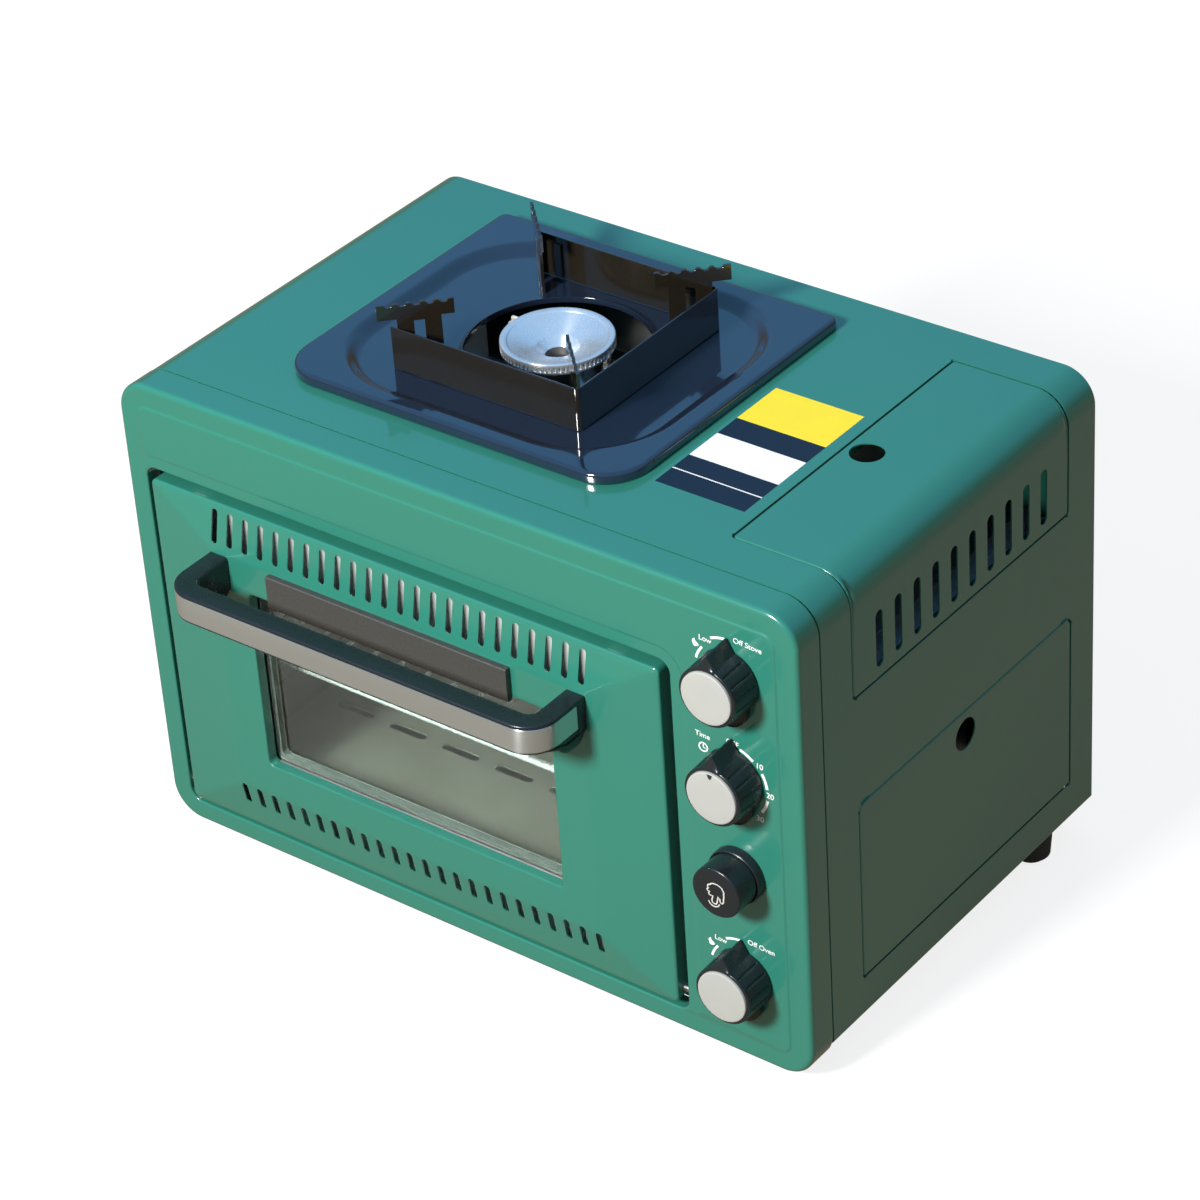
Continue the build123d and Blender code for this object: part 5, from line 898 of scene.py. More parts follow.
drawn(band_steel, 0.85, 0.25)
band_along = grip_along[(grip_along >= BAND_SHORT) & (grip_along <= total - BAND_SHORT)]
band_profile = np.array([(BAND_SINK, band_low[2] + 0.05), (0.2, band_low[2] + 0.05), (0.0, band_low[2] + 0.4),
                         (0.0, band_high[2] - 1.4), (0.25, band_high[2] - 0.5), (0.6, band_high[2] - 0.05),
                         (BAND_SINK, band_high[2] - 0.05)])
capped(carried(np.repeat(band_profile[None], len(band_along), axis=0), band_along), "handle_steel_band",
       band_steel, "door", ["handle_band"], crease=25)

# ---------------------------------------------------------------- knobs
# Three fluted black knobs on round stems, each with a pointer wedge, a rounded lobe opposite it at the foot
# and a pearl-grey cap let into its face.
FLUTES = 16
GROOVE_DEEP = 0.85
GROOVE_HALF = 2.1
KNOB_COLUMNS = 288
KNOB_R = 19.5
KNOB_TAPER = 0.9
KNOB_LONGER = 2.4
CAP_RISE = 1.4
CAP_R = 16.6
POINTER_REACH = 27.0
LOBE_R = 13.4
LOBE_DROP = 15.2
LOBE_SHOULDER = 3.4
LOBE_TALL = 4.8
knob_low, knob_high = extent("stove_knob")
knob_x = (knob_low[0] + knob_high[0]) / 2
knob_tall = knob_high[1] - knob_low[1] + KNOB_LONGER


def knob_side(turn, height):
    """Distance of the knob's side from its axis: the largest of three forms. The skirt is a slight cone less
    narrow grooves, each a bell curve of the turn; the pointer is a straight flank between a point on its tip
    and one on the skirt; the lobe is an off-centre circle at the foot."""
    skirt = KNOB_R - KNOB_TAPER * height / knob_tall
    pitch = 2 * np.pi / FLUTES
    off_groove = np.abs((turn / pitch) % 1 - 0.5) * np.degrees(pitch)
    band = np.clip((height - 0.8) / 0.8, 0, 1) * np.clip((knob_tall - 1.6 - height) / 0.7, 0, 1)
    free = np.clip((np.abs(turn) - np.radians(15)) / np.radians(4), 0, 1)
    skirt = skirt - GROOVE_DEEP * np.exp(-(off_groove / GROOVE_HALF) ** 2) * band * free
    reach = POINTER_REACH - 1.6 * height / knob_tall - np.clip(height - knob_tall + 1.9, 0, 3) * 4.2
    lean = np.abs(turn + np.radians(1.5))
    tip_x, root_x, root_z = 0.6, 5.6, 18.2
    facing = np.sin(lean) * (root_z - reach) - np.cos(lean) * (root_x - tip_x)
    flank = (tip_x * root_z - reach * root_x) / facing
    flank = np.where(lean < np.arctan(tip_x / reach), reach / np.cos(lean), flank)
    pointer = np.where((lean < np.radians(20)) & (reach > root_z + 0.2), flank, 0)
    away = np.abs(np.abs(turn) - np.pi)
    inside = LOBE_R ** 2 - (LOBE_DROP * np.sin(away)) ** 2
    lobe = np.where((away < 1.1) & (inside > 0), LOBE_DROP * np.cos(away) + np.sqrt(np.maximum(inside, 0)), 0)
    shoulder = np.clip((height - LOBE_SHOULDER) / (LOBE_TALL - LOBE_SHOULDER), 0, 1)
    lobe = lobe - (1 - np.sqrt(1 - shoulder ** 2)) * (lobe - KNOB_R + 2)
    lobe = np.where(height > LOBE_TALL, 0, lobe - 0.5 * np.clip(0.5 - height, 0, 1))
    return np.maximum(np.maximum(skirt, pointer), lobe)


def about_axis(radius, height, turn):
    """Points at a turn, a radius and a height, as (across, height, up)."""
    return np.stack([radius * np.sin(turn), height + 0 * turn, radius * np.cos(turn)], axis=-1)


def turned(profile, columns):
    """Rings of a profile of (radius, height) turned about an axis."""
    return about_axis(*np.array(profile, float).T[:, :, None],
                      np.linspace(-np.pi, np.pi, columns, endpoint=False)[None])


knob_turns = np.linspace(-np.pi, np.pi, KNOB_COLUMNS, endpoint=False)[None]
knob_rows = np.concatenate([[0, 0.4, 0.8, 1.2, 1.6, 2.4, 3.4, 3.8, 4.2, 4.5, 4.7, 4.85, 6.5, 9, 11.5, 14],
                            knob_tall - np.array([4, 2.8, 2.3, 1.9, 1.6, 1.2, 0.8, 0.4])])
side = about_axis(knob_side(knob_turns, knob_rows[:, None]), knob_rows[:, None], knob_turns)
top_r = KNOB_R - KNOB_TAPER
knob_foot = turned([(0, 0.6), (4.2, 0.6), (KNOB_R - 1.2, 0.6), (KNOB_R - 1.0, 0)], KNOB_COLUMNS)
knob_face = turned([(top_r - 0.25, knob_tall - 0.12), (top_r - 0.6, knob_tall), (CAP_R + 0.45, knob_tall),
                    (CAP_R + 0.15, knob_tall - 0.3), (CAP_R + 0.15, knob_tall - 1), (0, knob_tall - 1)],
                   KNOB_COLUMNS)
knob_rings = np.concatenate([knob_foot, side, knob_face])
cap_top = knob_tall + CAP_RISE
cap_rings = turned([(0, knob_tall - 0.9), (CAP_R, knob_tall - 0.9), (CAP_R, cap_top - 0.7),
                    (CAP_R - 0.2, cap_top - 0.3), (CAP_R - 0.6, cap_top - 0.08),
                    (CAP_R - 1.2, cap_top - 0.02), (10, cap_top), (0, cap_top)], 96)
cap_finish = coating("pearl_cap", (0.37, 0.385, 0.37), (0.405, 0.42, 0.40), 60.0, (0.34, 0.44), 0.004, 2500.0,
                     metallic=0.15, level=0.6)


def on_axis(name, rings, z, material, body, node, crease=28):
    """A piece of turned rings set on a control's axis, their foot towards the bezel."""
    placed = np.stack([knob_x + rings[..., 0], knob_high[1] - rings[..., 1], z + rings[..., 2]], axis=-1)
    ringed(name, placed, material, body, [node], crease=crease)


control_z = {name: sum(extent(name + "_stem")[i][2] for i in (0, 1)) / 2
             for name in ("stove", "timer", "oven")}
for name, z in control_z.items():
    on_axis(name + "_fluted_knob", knob_rings, z, black_plastic, name + "_control", name + "_knob")
    on_axis(name + "_pearl_cap", cap_rings, z, cap_finish, name + "_control", name + "_knob_cap")
stem_steel = coating("turned_steel", (0.55, 0.55, 0.54), (0.48, 0.48, 0.47), 60.0, (0.22, 0.34), 0.006,
                     1500.0, metallic=1.0)
dress(stem_steel, "stove_stem", "timer_stem", "oven_stem")

# ---------------------------------------------------------------- ignition button and collar
# A round black push button in a collar screwed into the bezel; pushing it fires the piezo igniter behind. Its
# satin face carries a plain pointing-hand sign.
button_low, button_high = extent("ignition_button")
collar_low, collar_high = extent("button_collar")
button_z = (collar_low[2] + collar_high[2]) / 2
button_r = (button_high[0] - button_low[0]) / 2
button_top = knob_high[1] - button_low[1]
BARREL_LONGER = 4.5
BARREL_R = button_r + 0.3
BARREL_EDGE = 1.2
BARREL_FOOT = 3.6
COLLAR_TALL = 5.2
COLLAR_SLIM = 0.7
collar_r = (collar_high[0] - collar_low[0]) / 2 - COLLAR_SLIM
collar_top = min(knob_high[1] - collar_low[1], COLLAR_TALL)
barrel_top = button_top + BARREL_LONGER
stem_low, stem_high = extent("stove_stem")
stem_r = (stem_high[0] - stem_low[0]) / 2
plunger_end = knob_high[1] - button_high[1]
barrel_profile = [(0, plunger_end), (stem_r, plunger_end), (stem_r, BARREL_FOOT),
                  (button_r - 0.6, BARREL_FOOT), (BARREL_R, BARREL_FOOT + 0.6),
                  (BARREL_R, barrel_top - BARREL_EDGE)]
barrel_profile += [(BARREL_R - drop, barrel_top - inset)
                   for inset, drop in rounding(BARREL_EDGE, 6, start=0.2)]
barrel_rings = turned(barrel_profile + [(BARREL_R - 4, barrel_top + 0.1), (0, barrel_top + 0.1)], 96)
on_axis("button_barrel", barrel_rings, button_z, black_plastic, "igniter_button", "ignition_button",
        crease=40)
collar_rings = turned([(button_r + 0.5, -0.9), (collar_r, -0.9), (collar_r, collar_top - 1.6),
                       (collar_r - 0.3, collar_top - 0.5), (collar_r - 0.8, collar_top),
                       (button_r + 0.7, collar_top - 0.2), (button_r + 0.5, collar_top - 1),
                       (button_r + 0.5, -0.9)], 96)
on_axis("ignition_collar", collar_rings, button_z, black_plastic, "housing", "button_collar")

# ---------------------------------------------------------------- printed marks
# White screen printing on the bezel around the controls and on the button: off positions, heat arcs, minutes,
# a flame for each burner, a clock and the button's sign. It is a thin film on the paint.
print_white = coating("white_print", (0.80, 0.82, 0.80), (0.74, 0.76, 0.74), 200.0, (0.35, 0.5), level=0.5)
FILM = 0.05
PRINT_LIFT = 0.18


def polar(turn, radius):
    """(across, up) at a turn clockwise from the top, in degrees, and a radius."""
    return np.stack([radius * np.sin(np.radians(turn)), radius * np.cos(np.radians(turn))], axis=-1)


def halved(corners):
    """Two triangles for each quad."""
    return np.concatenate([corners[:, [0, 1, 2]], corners[:, [0, 2, 3]]])


def stroke(points, width, closed=False):
    """A line of the given width: each point moves half the width to both sides, across the direction from the
    point before it to the point after it. Returns points and triangles."""
    points = np.asarray(points, float)
    ahead = np.roll(points, -1, axis=0)
    behind = np.roll(points, 1, axis=0)
    if not closed:
        ahead[-1], behind[0] = points[-1], points[0]
    along = ahead - behind
    along = along / np.linalg.norm(along, axis=1, keepdims=True)
    normal = np.stack([along[:, 1], -along[:, 0]], axis=1) * width / 2
    rings = np.stack([points + normal, points - normal], axis=1)
    if closed:
        rings = np.concatenate([rings, rings[:1]])
    return rings.reshape(-1, 2), halved(quads(len(rings), 2))


def filled(points):
    """A convex or star-shaped patch as a fan of triangles around its middle."""
    points = np.asarray(points, float)
    count = len(points)
    i = np.arange(count)
    fan = np.stack([i, (i + 1) % count, np.full(count, count)], axis=1)
    return np.concatenate([points, points.mean(axis=0, keepdims=True)]), fan


def letters(words, size, place, tilt=0.0):
    """A word as triangles, centred on its place and turned by tilt degrees."""
    curve = bpy.data.curves.new("word", "FONT")
    curve.body = words
    curve.size = 1.0
    curve.align_x = "CENTER"
    curve.align_y = "CENTER"
    curve.offset = 0.008
    text = bpy.data.objects.new("word", curve)
    flat = bmesh.new()
    flat.from_mesh(text.to_mesh())
    bmesh.ops.triangulate(flat, faces=flat.faces)
    points = np.array([corner.co[:2] for corner in flat.verts]) * size
    faces = np.array([[corner.index for corner in face.verts] for face in flat.faces])
    flat.free()
    text.to_mesh_clear()
    bpy.data.objects.remove(text)
    bpy.data.curves.remove(curve)
    c, s = math.cos(math.radians(tilt)), math.sin(math.radians(tilt))
    return points @ np.array([[c, s], [-s, c]]) + np.asarray(place), faces


def sweep_arc(start, end, radius, width=1.0):
    """A printed arc between two turns."""
    return stroke(polar(np.linspace(start, end, 16), radius), width)


def flame(place, size):
    """Rows of a flame from foot to tip: the half-width is a sine of the height, drawn in towards the tip, and
    the middle line leans as a slow wave."""
    t, across = np.meshgrid(np.linspace(0, 1, 12), np.linspace(-1, 1, 6), indexing="ij")
    half = 0.40 * np.sin(np.pi * t ** 0.62) * (1 - 0.25 * t)
    lean = 0.12 * np.sin(2 * np.pi * t)
    points = np.stack([lean + half * across, t - 0.5], axis=-1) * size + np.asarray(place)
    return points.reshape(-1, 2), halved(quads(*t.shape))


def marked(name, parts, x, z, material, body, surface):
    """Printed parts centred on (x, z), laid a film's thickness in front of a surface."""
    points, faces = joined(parts)
    one, two, three = (points[faces[:, i]] for i in range(3))
    ahead, aside = two - one, three - one
    clockwise = ahead[:, 0] * aside[:, 1] < ahead[:, 1] * aside[:, 0]
    faces = np.where(clockwise[:, None], faces[:, ::-1], faces)
    across, up = points[:, 0] + x, points[:, 1] + z
    made = np.stack([across, surface(across, up) - PRINT_LIFT, up], axis=1)
    return piece(name, made, faces, material, body)


def heat_marks(word):
    """A burner's marks around its knob: flame, low and off positions, the heat arcs and the burner's name."""
    return [sweep_arc(-4, -27, 25.6, 1.6), sweep_arc(-50, -74, 23.0, 1.5), flame((-22.4, 16.4), 5.4),
            letters("Low", 4.9, (-15.4, 20.6), -3), letters("Off " + word, 4.9, (13.0, 26.4), -3)]


marked("stove_marks", heat_marks("Stove"), knob_x, control_z["stove"], print_white, "housing", bezel_face)
marked("oven_marks", heat_marks("Oven"), knob_x, control_z["oven"], print_white, "housing", bezel_face)
TIMER_SHIFT = np.array((-2.0, -1.8))
CLOCK_PLACE = (-20.4, 13.4)
minutes = [sweep_arc(16, 40, 23.8, 1.8), sweep_arc(60, 84, 24.2, 1.8), sweep_arc(102, 126, 24.6, 1.8),
           letters("OFF", 4.9, polar(4, 25.4), -3), letters("10", 5.2, polar(50, 25.4), -3),
           letters("20", 5.2, polar(93, 26.0), -3), letters("30", 5.2, polar(137, 27.0), -3)]
minutes = [(points + TIMER_SHIFT, faces) for points, faces in minutes]
minutes += [letters("Time", 4.9, (-20.5, 21.4), -3),
            stroke(polar(np.linspace(0, 360, 28, endpoint=False), 2.8) + CLOCK_PLACE, 0.9, closed=True),
            stroke(np.array([(0, 1.9), (0, 0), (1.4, -0.6)]) + CLOCK_PLACE, 0.7)]
marked("timer_marks", minutes, knob_x, control_z["timer"], print_white, "housing", bezel_face)

grey_print = coating("grey_print", (0.50, 0.49, 0.46), (0.46, 0.45, 0.43), 200.0, (0.4, 0.5))
hand = np.array([(-1.0, -8.0), (-2.4, -7.4), (-2.8, -5.8), (-1.9, -1.8), (-3.6, -2.6), (-4.9, -2.0),
                 (-5.0, -0.8), (-4.2, 0.0), (-5.4, 0.2), (-6.2, 1.2), (-5.6, 2.4), (-4.8, 2.6), (-5.6, 3.4),
                 (-5.4, 4.8), (-4.0, 5.6), (-2.0, 7.2), (1.6, 7.6), (5.0, 6.2), (6.4, 3.2), (6.2, -0.4),
                 (5.8, -4.4), (4.6, -5.8), (3.4, -5.2), (3.2, -2.8), (1.9, -1.6), (1.0, -6.4), (0.3, -7.7)])
sleeve = polar(np.linspace(105, 255, 12), 3.9) + (-1.2, -5.4)
sign = [stroke(hand * 0.92, 0.95, closed=True), stroke(sleeve, 0.9)]
marked("button_sign", sign, knob_x, button_z, grey_print, "igniter_button",
       lambda across, up: np.full(len(across), button_low[1] - BARREL_LONGER - 0.1))
pointer_dark = coating("cap_notch", (0.02, 0.022, 0.024), (0.03, 0.032, 0.034), 80.0, (0.4, 0.5))
notch = [filled([(-1.8, 16.3), (1.9, 16.2), (1.2, 13.9), (0.2, 12.9), (-0.9, 13.9)])]
marked("timer_cap_notch", notch, knob_x, control_z["timer"], pointer_dark, "timer_control",
       lambda across, up: np.full(len(across), knob_high[1] - cap_top))

# ---------------------------------------------------------------- cartridge lid and side hatch
# The lid over the cartridge bay is one sheet bent over the top edge, with a finger hole, ten cooling slots
# and folded edges; it turns on a rod along its lower edge. The hatch below it is a flat plate on the same
# rods.
FOLD = 8.0
PANEL_EDGE = 0.9
PANEL_SHEET = 0.9
EDGE_STEP = 2.5
HOLE_SHARES = (0, 0.4, 0.75, 0.92, 1)
FINGER_R = 10.4
LID_SLOTS = 10
LID_CELL_STEPS = 10
LID_SLOT_WIDE = 7.0
LID_SLOT_LONG = 37.0
LID_SLOT_PITCH = 18.8
LID_SLOT_FOOT = 7.0
LID_FINGER_INSET = 3.5
HATCH_FINGER_INSET = 5.7
HATCH_FINGER_SIDE = 3.0
HATCH_CELL = 14.0


def folded_panel(name, runs, v_lines, limits, radii, fold, body, node):
    """A cut sheet on the shell's shape with a folded edge. runs holds the lines and the holes of each of its
    strips. Rings lead from the grid's border over the rounded edge and down the fold: each is the panel's
    outline moved in by its own distance, at its own depth below the surface."""
    flat, faces = joined([strip(u_lines, v_lines, holes) for u_lines, holes in runs])
    u_lines = np.concatenate([run[:-1] for run, _ in runs[:-1]] + [runs[-1][0]])
    u_low, u_high, v_low, v_high = limits
    centre = ((v_low + v_high) / 2, (u_low + u_high) / 2)
    across, up = len(v_lines) - 1, len(u_lines) - 1
    rings = [around_shell(grid_border(u_lines, v_lines))]
    for inset, depth in [(PANEL_EDGE + 0.2, 0.0), *rounding(PANEL_EDGE, 4), (0, PANEL_EDGE + 0.4), (0, fold)]:
        size = (v_high - v_low - 2 * inset, u_high - u_low - 2 * inset)
        ring = outline(*size, [max(r - inset, 0.4) for r in radii], centre, across, up)
        rings.append(around_shell(ring[:, ::-1], depth))
    whole = joined([(around_shell(flat), faces), tube(rings, inside_out=True)])
    piece(name, *whole, green, body, [node], flip=True, thick=PANEL_SHEET, bevel=0.3, crease=50)


lid_u = (on_top(lid_low[0]), on_right(lid_low[2]))
lid_v = (lid_low[1], lid_high[1])
lid_mid = sum(lid_v) / 2
finger_u = lid_u[0] + LID_FINGER_INSET + FINGER_R
slots_v = (lid_mid - LID_SLOTS * LID_SLOT_PITCH / 2, lid_mid + LID_SLOTS * LID_SLOT_PITCH / 2)
slots_u = (on_right(lid_low[2] + LID_SLOT_FOOT + LID_SLOT_LONG), on_right(lid_low[2] + LID_SLOT_FOOT))
lid_v_lines = np.concatenate([spaced(lid_v[0] + EDGE_STEP, slots_v[0], 3)[:-1],
                              np.linspace(*slots_v, LID_SLOTS * LID_CELL_STEPS + 1),
                              spaced(slots_v[1], lid_v[1] - EDGE_STEP, 3)[1:]])
lid_u_hole = np.linspace(lid_u[0] + EDGE_STEP, finger_u + FINGER_R + 3, 13)
lid_u_mid = lines(lid_u_hole[-1], side_height + corner_run + top_run, side_height + 2 * corner_run + top_run,
                  slots_u[0] - EDGE_STEP, step=2.5)
lid_u_slots = np.linspace(slots_u[0] - EDGE_STEP, slots_u[1] + EDGE_STEP, 15)
lid_u_foot = spaced(lid_u_slots[-1], lid_u[1] - EDGE_STEP, 2.0)
finger_cell = cell(lid_v_lines, lid_mid - LID_SLOT_PITCH, lid_mid + LID_SLOT_PITCH)
finger_hole = (*finger_cell, round_hole(finger_u, lid_mid, FINGER_R), HOLE_SHARES)
lid_slots = slot_holes(lid_v_lines, slots_v[0], LID_SLOTS, LID_CELL_STEPS, LID_SLOT_PITCH,
                       (LID_SLOT_WIDE, slots_u[1] - slots_u[0]), sum(slots_u) / 2, (0, 0.5, 0.85, 1))
lid_runs = [(lid_u_hole, [finger_hole]), (lid_u_mid, []), (lid_u_slots, lid_slots), (lid_u_foot, [])]
folded_panel("lid_panel", lid_runs, lid_v_lines, (*lid_u, *lid_v), [2.5] * 4, FOLD, "lid", "cartridge_lid")

hatch_u = (on_right(hatch_high[2]), on_right(hatch_low[2]))
hatch_v = (hatch_low[1], hatch_high[1])
hole_v, hole_u = sum(hatch_v) / 2 - HATCH_FINGER_SIDE, hatch_u[0] + HATCH_FINGER_INSET + FINGER_R
hatch_v_lines = lines(hatch_v[0] + 6.5, hole_v - HATCH_CELL, hole_v + HATCH_CELL, hatch_v[1] - EDGE_STEP,
                      step=3.0)
hatch_u_hole = np.linspace(hatch_u[0] + 3.5, hole_u + FINGER_R + 3, 13)
hatch_u_foot = spaced(hatch_u_hole[-1], hatch_u[1] - EDGE_STEP, 3.0)
hatch_cell = cell(hatch_v_lines, hole_v - HATCH_CELL, hole_v + HATCH_CELL)
hatch_hole = (*hatch_cell, round_hole(hole_u, hole_v, FINGER_R), HOLE_SHARES)
folded_panel("hatch_panel", [(hatch_u_hole, [hatch_hole]), (hatch_u_foot, [])], hatch_v_lines,
             (*hatch_u, *hatch_v), [6, 6, 1.5, 1.5], hatch_high[0] - hatch_low[0], "hatch", "side_hatch")
zinc = coating("galvanised", (0.55, 0.57, 0.58), (0.44, 0.46, 0.47), 26.0, (0.28, 0.48), 0.03, 160.0,
               metallic=0.85, detail=5.0)
dress(zinc, "side_hinges")

# ---------------------------------------------------------------- safety label
# A blank sticker between the hob and the lid: four printed bands, left without words.
LABEL_X = (96.5, 158.0)
label_yellow = coating("label_yellow", (0.80, 0.66, 0.02), (0.74, 0.60, 0.02), 60.0, (0.32, 0.42))
label_navy = coating("label_navy", (0.005, 0.014, 0.030), (0.007, 0.017, 0.036), 60.0, (0.42, 0.52),
                     level=0.3)
label_white = coating("label_white", (0.78, 0.80, 0.82), (0.74, 0.76, 0.78), 60.0, (0.32, 0.42))


def band(y_low, y_high, rise=0.0):
    """A flat rectangle of the sticker with rounded corners, as (points, quads) on the shell's top."""
    x, y = np.meshgrid(spaced(*LABEL_X, 6.0), spaced(y_low, y_high, 6.0), indexing="ij")
    points = np.stack([x, y, np.full_like(x, shell_high[2] + FILM + rise)], axis=-1)
    return points.reshape(-1, 3), quads(*x.shape)


for name, finish, bands in (("label_warm_band", label_yellow, [(29.3, 68.3)]),
                            ("label_dark_bands", label_navy, [(10.0, 29.3), (-50.0, -17.2)]),
                            ("label_pale_band", label_white, [(-17.2, 10.0)])):
    label_points, label_faces = joined([band(*limits) for limits in bands])
    piece(name, label_points, label_faces, finish, "housing", flip=True)
piece("label_rule", *band(-33.6, -32.7, FILM), label_white, "housing", flip=True)

# ---------------------------------------------------------------- drip pan
# Pressed steel in gloss black enamel, laid on the shell: a rolled rim, wide rounded front corners, a round
# cornered basin and a raised lip around the burner hole. It is held by the burner cup's bracket below.
PAN_FRONT_R = 28.0
PAN_REAR_R = 6.0
PAN_RIM_R = 2.6
BASIN_SIDE = 11.5
BASIN_FRONT = 9.5
BASIN_R = 62.0
BASIN_SLOPE = 10.5
PAN_SHEET = 0.8
HOLE_LIP = 2.7
PAN_HOLE_R = 56.5
PAN_STEPS = 36
pan_size = pan_high - pan_low
pan_centre = ((pan_high + pan_low) / 2)[:2]
basin_low = pan_low[:2] + (BASIN_SIDE, BASIN_FRONT)
basin_high = pan_high[:2] - BASIN_SIDE
pan_floor = extent("pot_supports")[0][2] - 0.05


def laid(flat, z):
    """Points (x, y) laid at a height."""
    return np.column_stack([flat, np.full(len(flat), z)])


def pan_ring(inset, z):
    """The pan's outline moved in by inset, at a height; its corners keep at least a small radius."""
    radii = [max(r - inset, 1.0) for r in (PAN_FRONT_R, PAN_FRONT_R, PAN_REAR_R, PAN_REAR_R)]
    flat = outline(pan_size[0] - 2 * inset, pan_size[1] - 2 * inset, radii, pan_centre, PAN_STEPS, PAN_STEPS)
    return laid(flat, z)


def basin_ring(inset, z):
    """The basin's edge moved in by inset, at a height."""
    size = basin_high - basin_low - 2 * inset
    flat = outline(*size, [BASIN_R - inset] * 4, (basin_high + basin_low) / 2, PAN_STEPS, PAN_STEPS)
    return laid(flat, z)


def lip_ring(radius, z):
    """A circle around the burner's axis, with as many points on each quarter as a side of the pan."""
    flat = outline(2 * radius, 2 * radius, [radius] * 4, hob, PAN_STEPS, PAN_STEPS)
    return laid(flat, z)


pan_top = pan_high[2]
fall = pan_top - pan_floor
pan_rings = [pan_ring(0.25, pan_low[2] + 0.15), pan_ring(0, pan_low[2] + 0.8),
             pan_ring(0, pan_top - PAN_RIM_R)]
pan_rings += [pan_ring(drop, pan_top - inset) for inset, drop in rounding(PAN_RIM_R, 6, start=0.2)]
basin_start = basin_ring(-0.6, pan_top)
pan_rings += [pan_ring(PAN_RIM_R, pan_top) * (1 - s) + basin_start * s for s in (0.12, 0.4, 0.7, 0.92)]
pan_rings += [basin_start]
pan_rings += [basin_ring(BASIN_SLOPE * s, pan_top - fall * eased(s)) for s in np.linspace(0.08, 1, 12)]
floor_start = lip_ring(PAN_HOLE_R + 3.6, pan_floor)
pan_rings += [pan_rings[-1] * (1 - s) + floor_start * s for s in (0.1, 0.3, 0.5, 0.7, 0.9)]
pan_rings += [floor_start]
pan_rings += [lip_ring(PAN_HOLE_R + 3.2 - HOLE_LIP * s, pan_floor + HOLE_LIP * eased(s))
              for s in (0.15, 0.4, 0.65, 0.85, 1)]
pan_rings += [lip_ring(PAN_HOLE_R + 0.15, pan_floor + 2.75), lip_ring(PAN_HOLE_R, pan_floor + 2.55),
              lip_ring(PAN_HOLE_R, pan_low[2] + 0.4)]
enamel = coating("black_enamel", (0.008, 0.014, 0.030), (0.011, 0.018, 0.036), 14.0, (0.06, 0.11), 0.015,
                 260.0, coat=1.0, level=0.6)
ringed("enamelled_pan", pan_rings, enamel, "housing", ["drip_pan"], thick=PAN_SHEET, crease=60)

# ---------------------------------------------------------------- wind screen and pot supports
# One folded strip of enamelled steel makes three sides of the screen; four notched plates with two legs each
# are welded in its corners. The set lifts off for cleaning.
brown_enamel = coating("brown_black_enamel", (0.010, 0.008, 0.005), (0.015, 0.012, 0.008), 30.0,
                       (0.10, 0.20), 0.03, 300.0, coat=0.8, level=0.6)
refined("folded_wind_screen", ["wind_screen"], brown_enamel, "trivet", 0.35)
refined("notched_pot_supports", ["pot_supports"], brown_enamel, "trivet", 0.45)

# ---------------------------------------------------------------- hob burner
# A turned aluminium head with a conical dish, a steeper throat and fine ports around its rim sits on a
# pressed cup. A mixing tube joins the cup to the stove valve; a strap holds both, with the spark electrode
# beside them.
HEAD_PORTS = 72
PORT_DEEP = 1.1
PORT_ROWS = (15, 16)
BORE_R = 7.9
head_low, head_high = extent("burner_head")
head_r = (head_high[0] - head_low[0]) / 2
head_profile = [(0, -16), (4.2, -16), (5.0, -15.8), (12.7, -7.3), (13.1, -6.9), (13.6, -6.7), (29.4, -0.95),
                (29.8, -0.9), (30.1, -0.55), (30.6, -0.3), (33.4, 0), (34.0, -0.12), (34.4, -0.5),
                (34.5, -1.1), (34.5, -2.0), (34.5, -2.05), (34.5, -5.35), (34.5, -5.4), (34.5, -6.2),
                (34.2, -6.8), (33.5, -7.0), (28.5, -7.0), (28.5, -12), (15.5, -12), (7.5, -18.4),
                (0, -18.4)]
head_columns = HEAD_PORTS * 6
head_rings = turned(head_profile, head_columns)
ports = (np.arange(head_columns) % 6) < 3
sunk = 1 - PORT_DEEP / head_r * ports
for row in PORT_ROWS:
    head_rings[row, :, 0] *= sunk
    head_rings[row, :, 2] *= sunk


def above_hob(rings):
    """Turned rings set on the hob burner's axis, their heights measured from the head's top."""
    return np.stack([hob[0] + rings[..., 0], hob[1] + rings[..., 2], head_high[2] + rings[..., 1]], axis=-1)


cast_aluminium = coating("turned_aluminium", (0.88, 0.89, 0.90), (0.82, 0.83, 0.85), 30.0, (0.24, 0.32),
                         0.0003, 1800.0, metallic=0.8)
ringed("turned_burner_head", above_hob(head_rings), cast_aluminium, "housing", ["burner_head"], crease=28)
drawn(cast_aluminium, 0.8, 0.25)
# The bottom of the throat is a bore, which starts BORE_R out from the axis; it is painted nearly black, as
# painted shade in the deep hole.
bore_profile = [(0, -15.6), (5.0, -15.5), (BORE_R, -12.15), (BORE_R + 0.15, -12.35), (5.1, -16.0), (0, -16.2)]
bore_shade_finish = coating("bore_painted_shade", (0.030, 0.029, 0.026), (0.050, 0.048, 0.043), 120.0, (0.5, 0.7), 0.05, 700.0)
ringed("burner_bore", above_hob(turned(bore_profile, 96)), bore_shade_finish, "housing", crease=25)
refined("pressed_burner_cup", ["burner_cup"], bright_steel, "housing", 0.2)
dress(zinc, "burner_bracket")
tube_steel = coating("drawn_steel", (0.58, 0.59, 0.59), (0.50, 0.51, 0.51), 22.0, (0.22, 0.36), 0.01, 600.0,
                     metallic=1.0)
dress(tube_steel, "mixing_tube")
ceramic = coating("electrode_ceramic", (0.78, 0.76, 0.70), (0.70, 0.67, 0.60), 60.0, (0.25, 0.4), 0.004,
                  900.0)
dress(ceramic, "spark_electrode")

